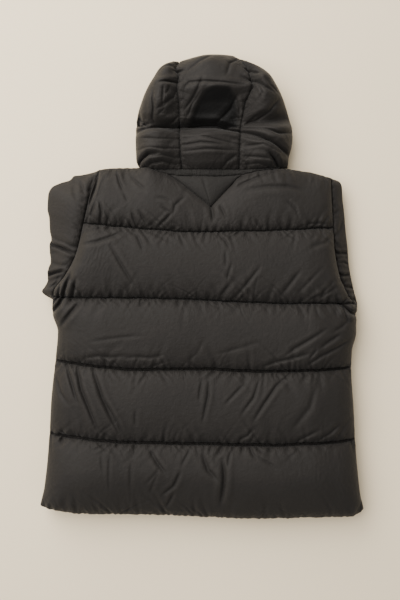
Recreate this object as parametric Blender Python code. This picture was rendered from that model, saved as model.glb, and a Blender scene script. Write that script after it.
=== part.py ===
"""Hooded puffer jacket, laid out face down with its sleeves folded under it.

Metres, +X to the wearer's right, +Y towards the hood, +Z up from the surface it lies on.
The back lies on the two fronts, which lie on the folded sleeves and on the surface.
Every panel is a padded slab: a plain inside and an outside raised between its sewn lines.
"""
import math
from collections import namedtuple

import bmesh
import bpy
import numpy as np

# ---- driving sizes ---------------------------------------------------------------------

GAP = 0.0003              # between neighbouring pieces
SEAM_GAP = 0.0004         # across a slanted seam, measured along X
RIM = 0.003               # least thickness of a padded edge

EDGE_HEIGHT = 0.028       # where back and fronts meet at the side seams and the hem
MIDDLE_HEIGHT = 0.046     # where they meet in the middle of the body
RISE_REACH = 0.10         # how far inside the outline that height is reached
SEWN_THICKNESS = 0.006    # the back's padding at a quilting line
CHAMBER_FULLNESS = 0.45   # lower is boxier
ARMHOLE_THICKNESS = 0.012
SIDE_ROUND = 0.045        # how far the padding takes to round up from an edge
ARMHOLE_ROUND = 0.030
UNDERSIDE_ROUND = 0.030
GROOVE_DEPTH = 0.007      # the fronts' quilting lines, above the surface
GROOVE_SHARE = 0.16       # of a chamber's height, on each side of a line

NECK_X = 0.024            # middle of the neck
NECK_HALF = 0.12
SHOULDER_BLEND = 0.06
UNDERARM_Y = -0.035
UNDERARM_BLEND = 0.03

ZIP_X = 0.012
ZIP_HALF = 0.004
ZIP_LOW = 0.0025
ZIP_HIGH = 0.009
ZIP_TOP_Y = 0.281
ZIP_ABOVE_HEM = 0.004
SLIDER_WIDTH = 0.0075
SLIDER_LENGTH = 0.013
SLIDER_LOW = 0.0003
SLIDER_BELOW_TOP = 0.004
COLLAR_HEIGHT = 0.0217
COLLAR_LEFT_X = -0.095
COLLAR_RIGHT_X = 0.140
COLLAR_TOP_Y = 0.285
COLLAR_ROUND = 0.008
COLLAR_ACROSS = (0.0, 0.03, 0.08, 0.35, 0.70)
COLLAR_DOWN = (0.0, 0.04, 0.12, 0.50, 1.0)

# ---- plan of the body, seen from above -------------------------------------------------

Point = namedtuple("Point", "x y")
Chamber = namedtuple("Chamber", "name loft")

BODY_LEFT = [   # armhole seam from the shoulder to the underarm, then the side
    Point(-0.209, 0.233), Point(-0.223, 0.191), Point(-0.238, 0.126), Point(-0.252, 0.068),
    Point(-0.276, 0.021), Point(-0.299, -0.009), Point(-0.300, -0.049), Point(-0.293, -0.090),
    Point(-0.298, -0.147), Point(-0.306, -0.227), Point(-0.312, -0.327), Point(-0.320, -0.400),
    Point(-0.329, -0.438),
]
BODY_RIGHT = [
    Point(0.253, 0.217), Point(0.256, 0.147), Point(0.259, 0.080), Point(0.268, 0.027),
    Point(0.288, -0.019), Point(0.302, -0.043), Point(0.302, -0.093), Point(0.293, -0.130),
    Point(0.292, -0.165), Point(0.298, -0.250), Point(0.302, -0.330), Point(0.310, -0.407),
    Point(0.321, -0.447),
]
FOLD_LEFT = [   # the line along which the sleeve is folded under
    Point(-0.2125, 0.233), Point(-0.245, 0.2235), Point(-0.275, 0.2095), Point(-0.303, 0.198),
    Point(-0.310, 0.172), Point(-0.309, 0.140), Point(-0.306, 0.105), Point(-0.308, 0.070),
    Point(-0.311, 0.036), Point(-0.314, 0.010), Point(-0.324, -0.008), Point(-0.3045, -0.026),
]
FOLD_RIGHT = [
    Point(0.2565, 0.217), Point(0.2735, 0.2085), Point(0.2765, 0.185), Point(0.2805, 0.150),
    Point(0.2835, 0.114), Point(0.288, 0.080), Point(0.290, 0.046), Point(0.2945, 0.020),
    Point(0.2995, -0.004), Point(0.304, -0.022), Point(0.307, -0.036), Point(0.306, -0.046),
]
NECKLINE = [
    Point(-0.206, 0.233), Point(-0.168, 0.236), Point(-0.118, 0.235), Point(-0.088, 0.225),
    Point(-0.044, 0.218), Point(0.014, 0.217), Point(0.072, 0.220), Point(0.112, 0.228),
    Point(0.162, 0.233), Point(0.210, 0.227), Point(0.254, 0.217),
]
QUILT_1 = [
    Point(-0.233, 0.124), Point(-0.127, 0.114), Point(-0.008, 0.107), Point(0.130, 0.109),
    Point(0.256, 0.116),
]
QUILT_2 = [
    Point(-0.281, -0.021), Point(-0.115, -0.023), Point(-0.010, -0.026), Point(0.084, -0.031),
    Point(0.199, -0.034), Point(0.298, -0.034),
]
QUILT_3 = [
    Point(-0.298, -0.147), Point(-0.181, -0.165), Point(-0.009, -0.166), Point(0.126, -0.170),
    Point(0.233, -0.166), Point(0.292, -0.162),
]
QUILT_4 = [
    Point(-0.306, -0.297), Point(-0.181, -0.309), Point(-0.009, -0.313), Point(0.137, -0.316),
    Point(0.206, -0.313), Point(0.300, -0.308),
]
HEM = [
    Point(-0.329, -0.438), Point(-0.308, -0.445), Point(-0.248, -0.453), Point(-0.108, -0.455),
    Point(-0.008, -0.459), Point(0.092, -0.463), Point(0.192, -0.461), Point(0.292, -0.459),
    Point(0.321, -0.447),
]
PLAN_ROUNDS = 12          # enough for x and y to agree to a micrometre
SEWN_LINES = [NECKLINE, QUILT_1, QUILT_2, QUILT_3, QUILT_4, HEM]
CHAMBERS = [
    Chamber("yoke", 0.028), Chamber("shoulder_blades", 0.036), Chamber("waist", 0.036),
    Chamber("hips", 0.034), Chamber("seat", 0.036),
]
CHAMBER_STEPS = (0.0, 0.05, 0.20, 0.50, 0.80, 0.95)      # rows in a chamber, as shares of it
SIDE_STEPS = (0.0, 0.015, 0.05, 0.10, 0.17, 0.26, 0.37, 0.50, 0.65, 0.82, 1.0)

# ---- neck, hood and sleeves ------------------------------------------------------------

GUSSET_LEFT_X = -0.066
GUSSET_RIGHT_X = 0.072
GUSSET_TIP = Point(0.0135, 0.1565)
GUSSET_THICKNESS = 0.013
GUSSET_PUFF = 0.010
GUSSET_DOWN = (0.0, 0.06, 0.25, 0.50, 0.75, 0.93)
GUSSET_ACROSS = (0.0, 0.10, 0.30, 0.50, 0.70, 0.90, 1.0)
GUSSET_DIP = 0.40         # share of the back's padding lost beside the V
GUSSET_DIP_REACH = 0.030

BAND_TOP = [
    Point(-0.116, 0.237), Point(-0.100, 0.2315), Point(-0.044, 0.232), Point(0.014, 0.232),
    Point(0.072, 0.2315), Point(0.142, 0.235), Point(0.164, 0.238),
]
BAND_LEFT_X = -0.098
BAND_RIGHT_X = 0.150
BAND_HEIGHT = 0.055
BAND_PUFF = 0.003
BAND_DOWN = (0.0, 0.3, 0.7, 1.0)
BAND_COLUMNS = 13

HOOD_BASE_LEFT = Point(-0.117, 0.2385)
HOOD_BASE_RIGHT = Point(0.1645, 0.2395)
HOOD_LEFT = [   # outline of the hood from the neck to the crown
    HOOD_BASE_LEFT, Point(-0.134, 0.253), Point(-0.136, 0.293), Point(-0.132, 0.333),
    Point(-0.122, 0.373), Point(-0.102, 0.413), Point(-0.088, 0.433), Point(-0.054, 0.450),
]
HOOD_RIGHT = [
    HOOD_BASE_RIGHT, Point(0.168, 0.253), Point(0.176, 0.293), Point(0.170, 0.333),
    Point(0.156, 0.373), Point(0.136, 0.413), Point(0.120, 0.433), Point(0.092, 0.449),
    Point(0.067, 0.460),
]
HOOD_SEAM_LEFT = [
    Point(-0.043, 0.2325), Point(-0.046, 0.255), Point(-0.048, 0.300), Point(-0.049, 0.357),
    Point(-0.053, 0.387), Point(-0.050, 0.412), Point(-0.056, 0.429), Point(-0.049, 0.4505),
]
HOOD_SEAM_RIGHT = [
    Point(0.070, 0.2325), Point(0.070, 0.255), Point(0.072, 0.300), Point(0.076, 0.333),
    Point(0.082, 0.373), Point(0.095, 0.402), Point(0.082, 0.433), Point(0.062, 0.461),
]
CROWN_BULGE = 0.007
CROWN_POWER = 6
HOOD_EDGE_HEIGHT = 0.030
HOOD_UNDER_ROUND = 0.030
HOOD_BASE_ROWS = 0.16     # share of the hood's height that follows the neck seam's curve
HOOD_STEPS_ACROSS = (0.0, 0.03, 0.12, 0.28, 0.50, 0.72, 0.88, 1.0)
HOOD_STEPS_SEAM = (0.0, 0.08, 0.22, 0.40, 0.60, 0.78, 0.92, 1.0)

HoodRow = namedtuple("HoodRow", "up left_lobe left_seam centre right_seam right_lobe")
HOOD_ROWS = [   # heights of the hood from the neck seam (up = 0) to the crown (up = 1)
    HoodRow(0.00, 0.055, 0.050, 0.054, 0.050, 0.055),
    HoodRow(0.06, 0.074, 0.060, 0.072, 0.060, 0.074),
    HoodRow(0.16, 0.086, 0.070, 0.084, 0.070, 0.084),
    HoodRow(0.27, 0.084, 0.068, 0.082, 0.068, 0.082),
    HoodRow(0.36, 0.062, 0.050, 0.052, 0.050, 0.060),    # the deep fold
    HoodRow(0.44, 0.086, 0.056, 0.058, 0.058, 0.084),    # the dented back of the head
    HoodRow(0.56, 0.098, 0.064, 0.068, 0.066, 0.096),
    HoodRow(0.68, 0.096, 0.074, 0.088, 0.076, 0.094),
    HoodRow(0.76, 0.084, 0.074, 0.084, 0.074, 0.082),    # quilting line below the crown
    HoodRow(0.86, 0.078, 0.066, 0.082, 0.068, 0.076),
    HoodRow(0.95, 0.056, 0.050, 0.064, 0.052, 0.054),
    HoodRow(1.00, 0.036, 0.034, 0.036, 0.034, 0.036),
]
HOOD_EXTRA_ROWS = (0.03, 0.11, 0.22, 0.32, 0.40, 0.50, 0.62, 0.72, 0.81, 0.91)

FACE_CENTRE = Point(0.020, 0.350)
FACE_HALF_WIDTH = 0.085
FACE_HALF_LENGTH = 0.078
FACE_DEPTH = 0.030
FACE_LEVELS = (-0.3, 0.25, 0.5, 0.72, 0.88, 0.97)     # rings of the opening, as shares of it
FACE_AROUND = 28

SleeveSize = namedtuple("SleeveSize", "side start_x start_y down_x cuff_y")
SLEEVE_LEFT = SleeveSize(-1, -0.272, 0.098, -0.128, -0.300)
SLEEVE_RIGHT = SleeveSize(1, 0.262, 0.088, 0.150, -0.312)
SLEEVE_TURN = 0.115
SLEEVE_THIN = 0.023       # the folded sleeve's thickness at the armhole
SLEEVE_FLAT = 0.032       # and further down, under the front
SLEEVE_TOP_WIDTH = 0.176
SLEEVE_CUFF_WIDTH = 0.128
SLEEVE_CHAMBERS = 5
SLEEVE_NIP = 0.006        # how much a quilting line draws the sleeve in, each side
SLEEVE_NIP_POWER = 6
THIN_SHARE = 0.25         # of the sleeve's length, from thin to flat
SLEEVE_ROOM = 0.0005
ROOM_FLOOR = -0.01
SLEEVE_AROUND = 16
SLEEVE_ALONG = 20
RING_SQUARENESS = 0.75
RING_MIDDLE = 0.46        # height of a section's widest part, as a share of its thickness
RING_SHOULDER = 0.22      # and of the points between that and the level underside
STRIP_PUFF = 0.34         # rise of the strip beside the armhole, as a share of its width
STRIP_STEPS = (0.0, 0.06, 0.22, 0.45, 0.70, 0.90, 1.0)
STRIP_FLOOR = 0.0005
STRIP_END = 0.001
TUCKS_LEFT = (0.074, 0.026)
TUCKS_RIGHT = (0.066, 0.000)
TUCK_DEPTH = 0.45
TUCK_WIDTH = 0.012
CUFF_LENGTH = 0.028
CUFF_WIDTH = 0.106
CUFF_THICKNESS = 0.022
CUFF_SWELL = 0.002
CUFF_WALL = 0.012
CUFF_SLIT = 0.003
CUFF_SLIT_DEPTH = 0.018

BLACK_NYLON = (0.043, 0.040, 0.036, 1.0)
DULL_NYLON = (0.030, 0.028, 0.026, 1.0)
METAL = (0.10, 0.10, 0.10, 1.0)


# ---- numbers ---------------------------------------------------------------------------

def smooth_step(share):
    """0 to 1 with level ends."""
    share = np.clip(share, 0.0, 1.0)
    return share * share * (3.0 - 2.0 * share)


def rounding(distance, reach):
    """A quarter ellipse: 0 at the edge, 1 from `reach` inwards."""
    short = 1.0 - np.clip(distance / reach, 0.0, 1.0)
    return np.sqrt(1.0 - short * short)


def hump(share, power=0.5):
    """0 at both ends, 1 in the middle."""
    return (4.0 * share * (1.0 - share)) ** power


def blend(start, end, share):
    return start + (end - start) * share


def through(known, values, wanted):
    """A smooth curve through the values at the known places, without overshoot."""
    known, values = np.asarray(known, float), np.asarray(values, float)
    if known[0] > known[-1]:
        known, values = known[::-1], values[::-1]
    steps = np.diff(known)
    rates = np.diff(values) / steps
    product = rates[:-1] * rates[1:]
    total = rates[:-1] + rates[1:]
    inner = np.where(product > 0.0, 2.0 * product / np.where(product > 0.0, total, 1.0), 0.0)
    slopes = np.concatenate([rates[:1], inner, rates[-1:]])
    wanted = np.clip(wanted, known[0], known[-1])
    cell = np.clip(np.searchsorted(known, wanted, side="right") - 1, 0, len(steps) - 1)
    width = steps[cell]
    share = (wanted - known[cell]) / width
    hold, leave = 1.0 - share, share * share * (3.0 - 2.0 * share)
    return (values[cell] * (1.0 - leave) + values[cell + 1] * leave
            + width * share * hold * (hold * slopes[cell] - share * slopes[cell + 1]))


def x_at(line, y):
    return through([point.y for point in line], [point.x for point in line], y)


def y_at(line, x):
    return through([point.x for point in line], [point.y for point in line], x)


def length_shares(line):
    """How far along a line each of its points lies, from 0 to 1."""
    xs = np.array([point.x for point in line])
    ys = np.array([point.y for point in line])
    run = np.concatenate([[0.0], np.cumsum(np.hypot(np.diff(xs), np.diff(ys)))])
    return xs, ys, run / run[-1]


def along(line, share):
    """The point at a share of a line's length, as x and y."""
    xs, ys, run = length_shares(line)
    return through(run, xs, share), through(run, ys, share)


# ---- the body's plan grid and heights --------------------------------------------------

def chamber_rows():
    """Every row of the body, as a chamber number plus the share of that chamber."""
    rows = [chamber + share for chamber in range(len(CHAMBERS)) for share in CHAMBER_STEPS]
    return np.array(rows + [float(len(CHAMBERS))])


def body_plan(left_line, right_line, shares):
    """x, y of each row and column between two lines that run down the body."""
    rows = chamber_rows()[:, None]
    shares = np.asarray(shares)[None, :]
    x, y = np.zeros((rows.size, shares.size)), np.zeros((rows.size, shares.size))
    chamber = np.minimum(rows.astype(int), len(CHAMBERS) - 1)
    part = rows - chamber
    for _ in range(PLAN_ROUNDS):
        lines = np.array([y_at(line, x) for line in SEWN_LINES])
        row_index = np.arange(rows.size)[:, None]
        col_index = np.arange(shares.size)[None, :]
        y = blend(lines[chamber, row_index, col_index],
                  lines[chamber + 1, row_index, col_index], part)
        x = blend(left_line(y), right_line(y), shares)
    return x, y


def body_left(y):
    return x_at(BODY_LEFT, y)


def body_right(y):
    return x_at(BODY_RIGHT, y)


def zip_line(y):
    return np.full_like(y, ZIP_X)


def outline_left(y):
    """The garment's outermost x on the left: the sleeve's fold, then the side."""
    fold = through([point.y for point in FOLD_LEFT], [point.x for point in FOLD_LEFT], y)
    return np.where(y > FOLD_LEFT[-1].y, np.minimum(fold, body_left(y)), body_left(y))


def outline_right(y):
    fold = through([point.y for point in FOLD_RIGHT], [point.x for point in FOLD_RIGHT], y)
    return np.where(y > FOLD_RIGHT[-1].y, np.maximum(fold, body_right(y)), body_right(y))


def shoulder_share(x):
    """0 across the neck, 1 out on the shoulders."""
    return smooth_step((np.abs(x - NECK_X) - NECK_HALF) / SHOULDER_BLEND)


def mid_height(x, y):
    """The height at which the back lies on the fronts."""
    top = smooth_step((y_at(NECKLINE, x) - y) / RISE_REACH)
    inside = smooth_step((x - outline_left(y)) / RISE_REACH)
    inside = inside * smooth_step((outline_right(y) - x) / RISE_REACH)
    inside = inside * smooth_step((y - y_at(HEM, x)) / RISE_REACH)
    inside = inside * blend(1.0, top, shoulder_share(x))
    return blend(EDGE_HEIGHT, MIDDLE_HEIGHT, inside)


def off_segment(x, y, start, end):
    """Distance from the straight line between two points."""
    run = np.array([end.x - start.x, end.y - start.y])
    share = np.clip(((x - start.x) * run[0] + (y - start.y) * run[1]) / run.dot(run), 0.0, 1.0)
    return np.hypot(x - start.x - share * run[0], y - start.y - share * run[1])


def back_thickness(x, y, rows):
    """Padding that swells between the sewn lines and thins out at the panel's edges."""
    chamber = np.minimum(rows.astype(int), len(CHAMBERS) - 1)
    share = rows - chamber
    lofts = np.array([chamber_size.loft for chamber_size in CHAMBERS])
    swell = lofts[chamber] * hump(share, CHAMBER_FULLNESS)
    side = smooth_step((UNDERARM_Y - y) / UNDERARM_BLEND)      # 1 below the armholes
    edge = blend(ARMHOLE_THICKNESS, RIM, side)
    reach = blend(ARMHOLE_ROUND, SIDE_ROUND, side)
    inwards = np.minimum(x - body_left(y), body_right(y) - x)
    left, right, tip = gusset_corners(0.0)
    to_gusset = np.minimum(off_segment(x, y, left, tip), off_segment(x, y, right, tip))
    dip = GUSSET_DIP * np.exp(-(to_gusset / GUSSET_DIP_REACH) ** 2)
    full = SEWN_THICKNESS + swell[:, None] * (1.0 - dip)
    return edge + np.maximum(full - edge, 0.0) * rounding(inwards, reach)


# ---- meshes ----------------------------------------------------------------------------

def clear_scene():
    for item in list(bpy.data.objects):
        bpy.data.objects.remove(item, do_unlink=True)


def fabric(name, colour, roughness, metallic=0.0):
    material = bpy.data.materials.new(name)
    material.use_nodes = True
    surface = material.node_tree.nodes["Principled BSDF"]
    surface.inputs["Base Color"].default_value = colour
    surface.inputs["Roughness"].default_value = roughness
    surface.inputs["Metallic"].default_value = metallic
    material.diffuse_color = colour
    return material


def solid(name, points, faces, colour=BLACK_NYLON, roughness=0.55, metallic=0.0):
    """One closed mesh object with its faces turned out."""
    mesh = bpy.data.meshes.new(name)
    mesh.from_pydata([tuple(point) for point in points], [], faces)
    shell = bmesh.new()
    shell.from_mesh(mesh)
    bmesh.ops.triangulate(shell, faces=[face for face in shell.faces if len(face.verts) > 3])
    bmesh.ops.recalc_face_normals(shell, faces=shell.faces)
    shell.to_mesh(mesh)
    shell.free()
    mesh.shade_smooth()
    mesh.set_sharp_from_angle(angle=math.radians(50.0))
    item = bpy.data.objects.new(name, mesh)
    bpy.context.collection.objects.link(item)
    item.data.materials.append(fabric(name, colour, roughness, metallic))
    return item


def slab(name, x, y, low, high, **look):
    """A closed solid between two heights over one plan grid of rows by columns."""
    rows, columns = x.shape
    count = rows * columns
    top = np.stack([x, y, high], axis=-1).reshape(count, 3)
    bottom = np.stack([x, y, low], axis=-1).reshape(count, 3)
    index = np.arange(count).reshape(rows, columns)
    faces = []
    for row in range(rows - 1):
        for column in range(columns - 1):
            here, right = int(index[row, column]), int(index[row, column + 1])
            far, below = int(index[row + 1, column + 1]), int(index[row + 1, column])
            faces += [(here, right, far), (here, far, below)]
            faces += [(far + count, right + count, here + count)]
            faces += [(below + count, far + count, here + count)]
    around = list(index[0, :]) + list(index[1:, -1])
    around += list(index[-1, -2::-1]) + list(index[-2:0:-1, 0])
    for start, end in zip(around, around[1:] + around[:1]):
        faces.append((int(end), int(start), int(start) + count))
        faces.append((int(end), int(start) + count, int(end) + count))
    return solid(name, np.vstack([top, bottom]), faces, **look)


def tube(name, rings, **look):
    """A closed solid through rings of equal point counts, capped flat at both ends."""
    around = len(rings[0])
    points = [point for ring in rings for point in ring]
    faces = []
    for ring in range(len(rings) - 1):
        for step in range(around):
            here, there = ring * around + step, ring * around + (step + 1) % around
            faces.append((here, there, there + around, here + around))
    faces.append(tuple(range(around))[::-1])
    last = (len(rings) - 1) * around
    faces.append(tuple(range(last, last + around)))
    return solid(name, points, faces, **look)


def box(name, low, high, **look):
    """A closed solid with square corners."""
    x, y = np.meshgrid([low[0], high[0]], [low[1], high[1]])
    return slab(name, x, y, np.full_like(x, low[2]), np.full_like(x, high[2]), **look)


def as_helper(item):
    item.hide_render = True
    item.display_type = 'WIRE'
    return item


def combine(item, helper, operation):
    step = item.modifiers.new(operation.title(), 'BOOLEAN')
    step.operation = operation
    step.solver = 'EXACT'
    step.object = helper


# ---- body ------------------------------------------------------------------------------

def make_back():
    """The quilted back, with a notch for the gusset at the neck."""
    shares = SIDE_STEPS
    left_x, left_y = body_plan(body_left, zip_line, shares)
    right_x, right_y = body_plan(zip_line, body_right, [1.0 - share for share in shares[::-1]])
    x = np.hstack([left_x[:, :-1], right_x])
    y = np.hstack([left_y[:, :-1], right_y])
    low = mid_height(x, y) + GAP
    back = slab("back", x, y, low, low + back_thickness(x, y, chamber_rows()))
    combine(back, as_helper(gusset_prism("gusset_notch", GAP)), 'DIFFERENCE')


def gusset_corners(grow):
    """Both ends of the V on the neck edge, and its tip; `grow` widens it all round."""
    left_x, right_x = GUSSET_LEFT_X - 1.6 * grow, GUSSET_RIGHT_X + 1.4 * grow   # slanted sides
    left_y, right_y = np.interp([GUSSET_LEFT_X, GUSSET_RIGHT_X], *neck_edge())
    return (Point(left_x, left_y), Point(right_x, right_y),
            Point(GUSSET_TIP.x, GUSSET_TIP.y - 1.4 * grow))


def gusset_prism(name, grow):
    """A standing V, open upwards past the neckline."""
    left, right, tip = gusset_corners(grow)
    above = left.y + GUSSET_THICKNESS
    plan = [(left.x, above), left, tip, right, (right.x, above)]
    heights = (EDGE_HEIGHT, 3.0 * MIDDLE_HEIGHT)
    return tube(name, [[(x, y, height) for x, y in plan] for height in heights])


def make_gusset():
    """The V inset at the neck, thinner than the back around it."""
    left, right, tip = gusset_corners(0.0)
    down = np.array(GUSSET_DOWN)[:, None]
    across = np.array(GUSSET_ACROSS)[None, :]
    x = blend(blend(left.x, tip.x, down), blend(right.x, tip.x, down), across)
    top_y = np.interp(blend(left.x, right.x, across), *neck_edge())
    y = blend(top_y, tip.y, down)
    y[0] -= GAP
    low = mid_height(x, y) + GAP
    high = low + GUSSET_THICKNESS + GUSSET_PUFF * hump(across) * hump(down)
    slab("neck_gusset", x, y, low, high, colour=DULL_NYLON)


def neck_edge():
    """The corners of the body's top row, which its neighbours at the neck follow."""
    left_x, left_y = body_plan(body_left, zip_line, SIDE_STEPS)
    right_x, right_y = body_plan(zip_line, body_right, [1.0 - share for share in SIDE_STEPS[::-1]])
    return np.hstack([left_x[0, :-1], right_x[0]]), np.hstack([left_y[0, :-1], right_y[0]])


def make_neck_band():
    """The narrow strip between the back and the hood."""
    corner_x, corner_y = neck_edge()
    inner = corner_x[(corner_x > BAND_LEFT_X) & (corner_x < BAND_RIGHT_X)]
    even = np.linspace(BAND_LEFT_X, BAND_RIGHT_X, BAND_COLUMNS)
    across = np.unique(np.concatenate([even, inner]))
    lower = np.interp(across, corner_x, corner_y) + 2.0 * GAP
    upper = y_at(BAND_TOP, across) - GAP
    shares = np.array(BAND_DOWN)[:, None]
    y = blend(upper[None, :], lower[None, :], shares)
    x = across[None, :] + np.zeros_like(y)
    high = BAND_HEIGHT + BAND_PUFF * hump(shares) + np.zeros_like(y)
    slab("neck_band", x, y, np.full_like(x, COLLAR_HEIGHT + GAP), high, colour=DULL_NYLON)


def front_underside(x, y, rows):
    """Flat on the surface, with a groove at each quilting line and a round outer edge."""
    share = rows - np.floor(rows)
    nearest = np.minimum(share, 1.0 - share)[:, None]
    inner_rows = ((rows > 0.5) & (rows < len(CHAMBERS) - 0.5))[:, None]
    groove = GROOVE_DEPTH * (1.0 - rounding(nearest, GROOVE_SHARE)) * inner_rows
    sides = rounding(x - body_left(y), UNDERSIDE_ROUND)
    sides = sides * rounding(body_right(y) - x, UNDERSIDE_ROUND)
    at_armhole = smooth_step((y - UNDERARM_Y) / UNDERARM_BLEND)
    shoulder = rounding(y_at(NECKLINE, x) - y, UNDERSIDE_ROUND)
    edges = blend(sides, 1.0, at_armhole) * blend(1.0, shoulder, shoulder_share(x))
    edges = edges * rounding(y - y_at(HEM, x), UNDERSIDE_ROUND)
    height = mid_height(x, y) - RIM
    return blend(height, np.minimum(groove, height), edges)


def make_front(name, sleeve, side):
    """One quilted front, hollowed where the folded sleeve lies under it."""
    rows = chamber_rows()
    step_in = ZIP_HALF + GAP
    beside_zip = [[ZIP_X + side * (step_in + GAP), ZIP_X + side * step_in,
                   ZIP_X + side * GAP / 2.0]] * rows.size
    if side < 0:
        x, y = body_plan(body_left, zip_line, SIDE_STEPS)
        x = np.hstack([x[:, :-1], beside_zip])
        y = np.hstack([y, y[:, -1:], y[:, -1:]])
        over_zip = slice(-2, None)
    else:
        x, y = body_plan(zip_line, body_right, [1.0 - share for share in SIDE_STEPS[::-1]])
        x = np.hstack([np.array(beside_zip)[:, ::-1], x[:, 1:]])
        y = np.hstack([y[:, :1], y[:, :1], y])
        over_zip = slice(0, 2)
    low = front_underside(x, y, rows)
    low[:, over_zip] = np.maximum(low[:, over_zip], ZIP_HIGH + GAP)
    front = slab(name, x, y, low, mid_height(x, y))
    combine(front, as_helper(sleeve), 'DIFFERENCE')


# ---- sleeves ---------------------------------------------------------------------------

def sleeve_route(size):
    """Stations from the armhole inwards, round a bend and down to the cuff."""
    first_run = abs(size.down_x - size.start_x) - SLEEVE_TURN
    bend = SLEEVE_TURN * math.pi / 2.0
    corner_y = size.start_y - SLEEVE_TURN
    last_run = corner_y - size.cuff_y
    total = first_run + bend + last_run
    stations = []
    for distance in np.linspace(0.0, total, SLEEVE_ALONG + 1):
        if distance < first_run:
            x, y, turn = size.start_x - size.side * distance, size.start_y, 0.0
        elif distance < first_run + bend:
            turn = (distance - first_run) / SLEEVE_TURN
            x = size.start_x - size.side * (first_run + SLEEVE_TURN * math.sin(turn))
            y = corner_y + SLEEVE_TURN * math.cos(turn)
        else:
            x, turn = size.down_x, math.pi / 2.0
            y = corner_y - (distance - first_run - bend)
        stations.append((x, y, turn, distance / total))
    return stations


def squared(value):
    """Pushes a sine or cosine outwards, which makes an ellipse boxier."""
    return math.copysign(abs(value) ** RING_SQUARENESS, value)


def flat_ring(x, y, turn, side, half_width, thickness, floor, grow):
    """A flattened round section across the route, level underneath."""
    ring = []
    for step in range(SLEEVE_AROUND):
        angle = 2.0 * math.pi * (step + 0.5) / SLEEVE_AROUND
        out = (half_width + grow) * squared(math.cos(angle))
        upwards = math.sin(angle)
        if upwards < -0.5:
            height = floor
        elif upwards < 0.0:
            height = RING_SHOULDER * thickness - grow
        else:
            height = thickness * blend(RING_MIDDLE, 1.0, squared(upwards)) + grow
        ring.append((x - side * out * math.sin(turn), y + out * math.cos(turn), height))
    return ring


def make_folded_sleeve(name, size, grow, floor):
    """The sleeve pressed flat under the front; `grow` makes the room it needs there."""
    rings = []
    for x, y, turn, share in sleeve_route(size):
        wave = abs(math.cos(math.pi * SLEEVE_CHAMBERS * share))
        width = blend(SLEEVE_TOP_WIDTH, SLEEVE_CUFF_WIDTH, share)
        half = width / 2.0 - SLEEVE_NIP * wave ** SLEEVE_NIP_POWER
        thickness = blend(SLEEVE_THIN, SLEEVE_FLAT, float(smooth_step(share / THIN_SHARE)))
        rings.append(flat_ring(x, y, turn, size.side, half, thickness, floor, grow))
    if grow:
        rings[0] = [(x + size.side * 4.0 * grow, y, z) for x, y, z in rings[0]]
        rings.append([(x, y - CUFF_LENGTH - 3.0 * grow, z) for x, y, z in rings[-1]])
    return tube(name, rings)


def make_strip(name, fold_line, tucks, side):
    """The part of the sleeve that shows beside the armhole, down to the surface."""
    corner_x, corner_y = body_plan(body_left, body_right, [0.0 if side < 0 else 1.0])
    corner_x, corner_y = corner_x[:, 0], corner_y[:, 0]
    end_y = fold_line[-1].y + STRIP_END
    corners = corner_y[corner_y > end_y]
    halves = (corners[:-1] + corners[1:]) / 2.0
    tip = blend(corners[0], end_y, length_shares(fold_line)[2][-2])
    seam_y = np.sort(np.concatenate([corners, halves, [end_y, tip]]))[::-1]
    seam_x = np.interp(seam_y, corner_y[::-1], corner_x[::-1]) + side * SEAM_GAP
    span = (seam_y[0] - seam_y) / (seam_y[0] - seam_y[-1])
    fold_x, fold_y = along(fold_line, span)
    across = np.array(STRIP_STEPS)[None, :]
    x = blend(fold_x[:, None], seam_x[:, None], across)
    y = blend(fold_y[:, None], seam_y[:, None], across)
    width = np.hypot(fold_x - seam_x, fold_y - seam_y)[:, None]
    seam_height = mid_height(seam_x, seam_y)[:, None] + ARMHOLE_THICKNESS
    puff = STRIP_PUFF * width * hump(across)
    for tuck_y in tucks:
        puff = puff * (1.0 - TUCK_DEPTH * np.exp(-((y - tuck_y) / TUCK_WIDTH) ** 2))
    high = blend(EDGE_HEIGHT, seam_height, smooth_step(across)) + puff
    under = rounding(across * width, np.minimum(UNDERSIDE_ROUND, 0.8 * width))
    under = under * rounding(y[0, 0] + STRIP_END - y, UNDERSIDE_ROUND)
    low = blend(EDGE_HEIGHT - RIM, STRIP_FLOOR, under)
    return slab(name, x, y, low, high)


def make_sleeve(name, size, fold_line, tucks):
    """Both parts of a sleeve as one solid; returns the room it needs under the front."""
    strip = make_strip(name, fold_line, tucks, size.side)
    folded = as_helper(make_folded_sleeve(name + "_folded", size, 0.0, 0.0))
    combine(strip, folded, 'UNION')
    return as_helper(make_folded_sleeve(name + "_room", size, SLEEVE_ROOM, ROOM_FLOOR))


def make_cuff(name, size):
    """The sleeve's end, pressed flat, with its mouth a slit."""
    near, far = size.cuff_y - GAP, size.cuff_y - CUFF_LENGTH
    rings = []
    for y, half, thick in ((near, CUFF_WIDTH / 2.0, CUFF_THICKNESS),
                           (blend(near, far, 0.5), CUFF_WIDTH / 2.0 + CUFF_SWELL, CUFF_THICKNESS),
                           (far, CUFF_WIDTH / 2.0 - CUFF_SWELL, CUFF_THICKNESS - CUFF_SWELL)):
        rings.append(flat_ring(size.down_x, y, math.pi / 2.0, size.side, half, thick, 0.0, 0.0))
    cuff = tube(name, rings, colour=DULL_NYLON)
    middle, half = CUFF_THICKNESS / 2.0, CUFF_WIDTH / 2.0 - CUFF_WALL
    slit = box(name + "_mouth",
               (size.down_x - half, far - CUFF_SLIT_DEPTH, middle - CUFF_SLIT / 2.0),
               (size.down_x + half, far + CUFF_SLIT_DEPTH, middle + CUFF_SLIT / 2.0))
    combine(cuff, as_helper(slit), 'DIFFERENCE')


# ---- zip and collar --------------------------------------------------------------------

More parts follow.
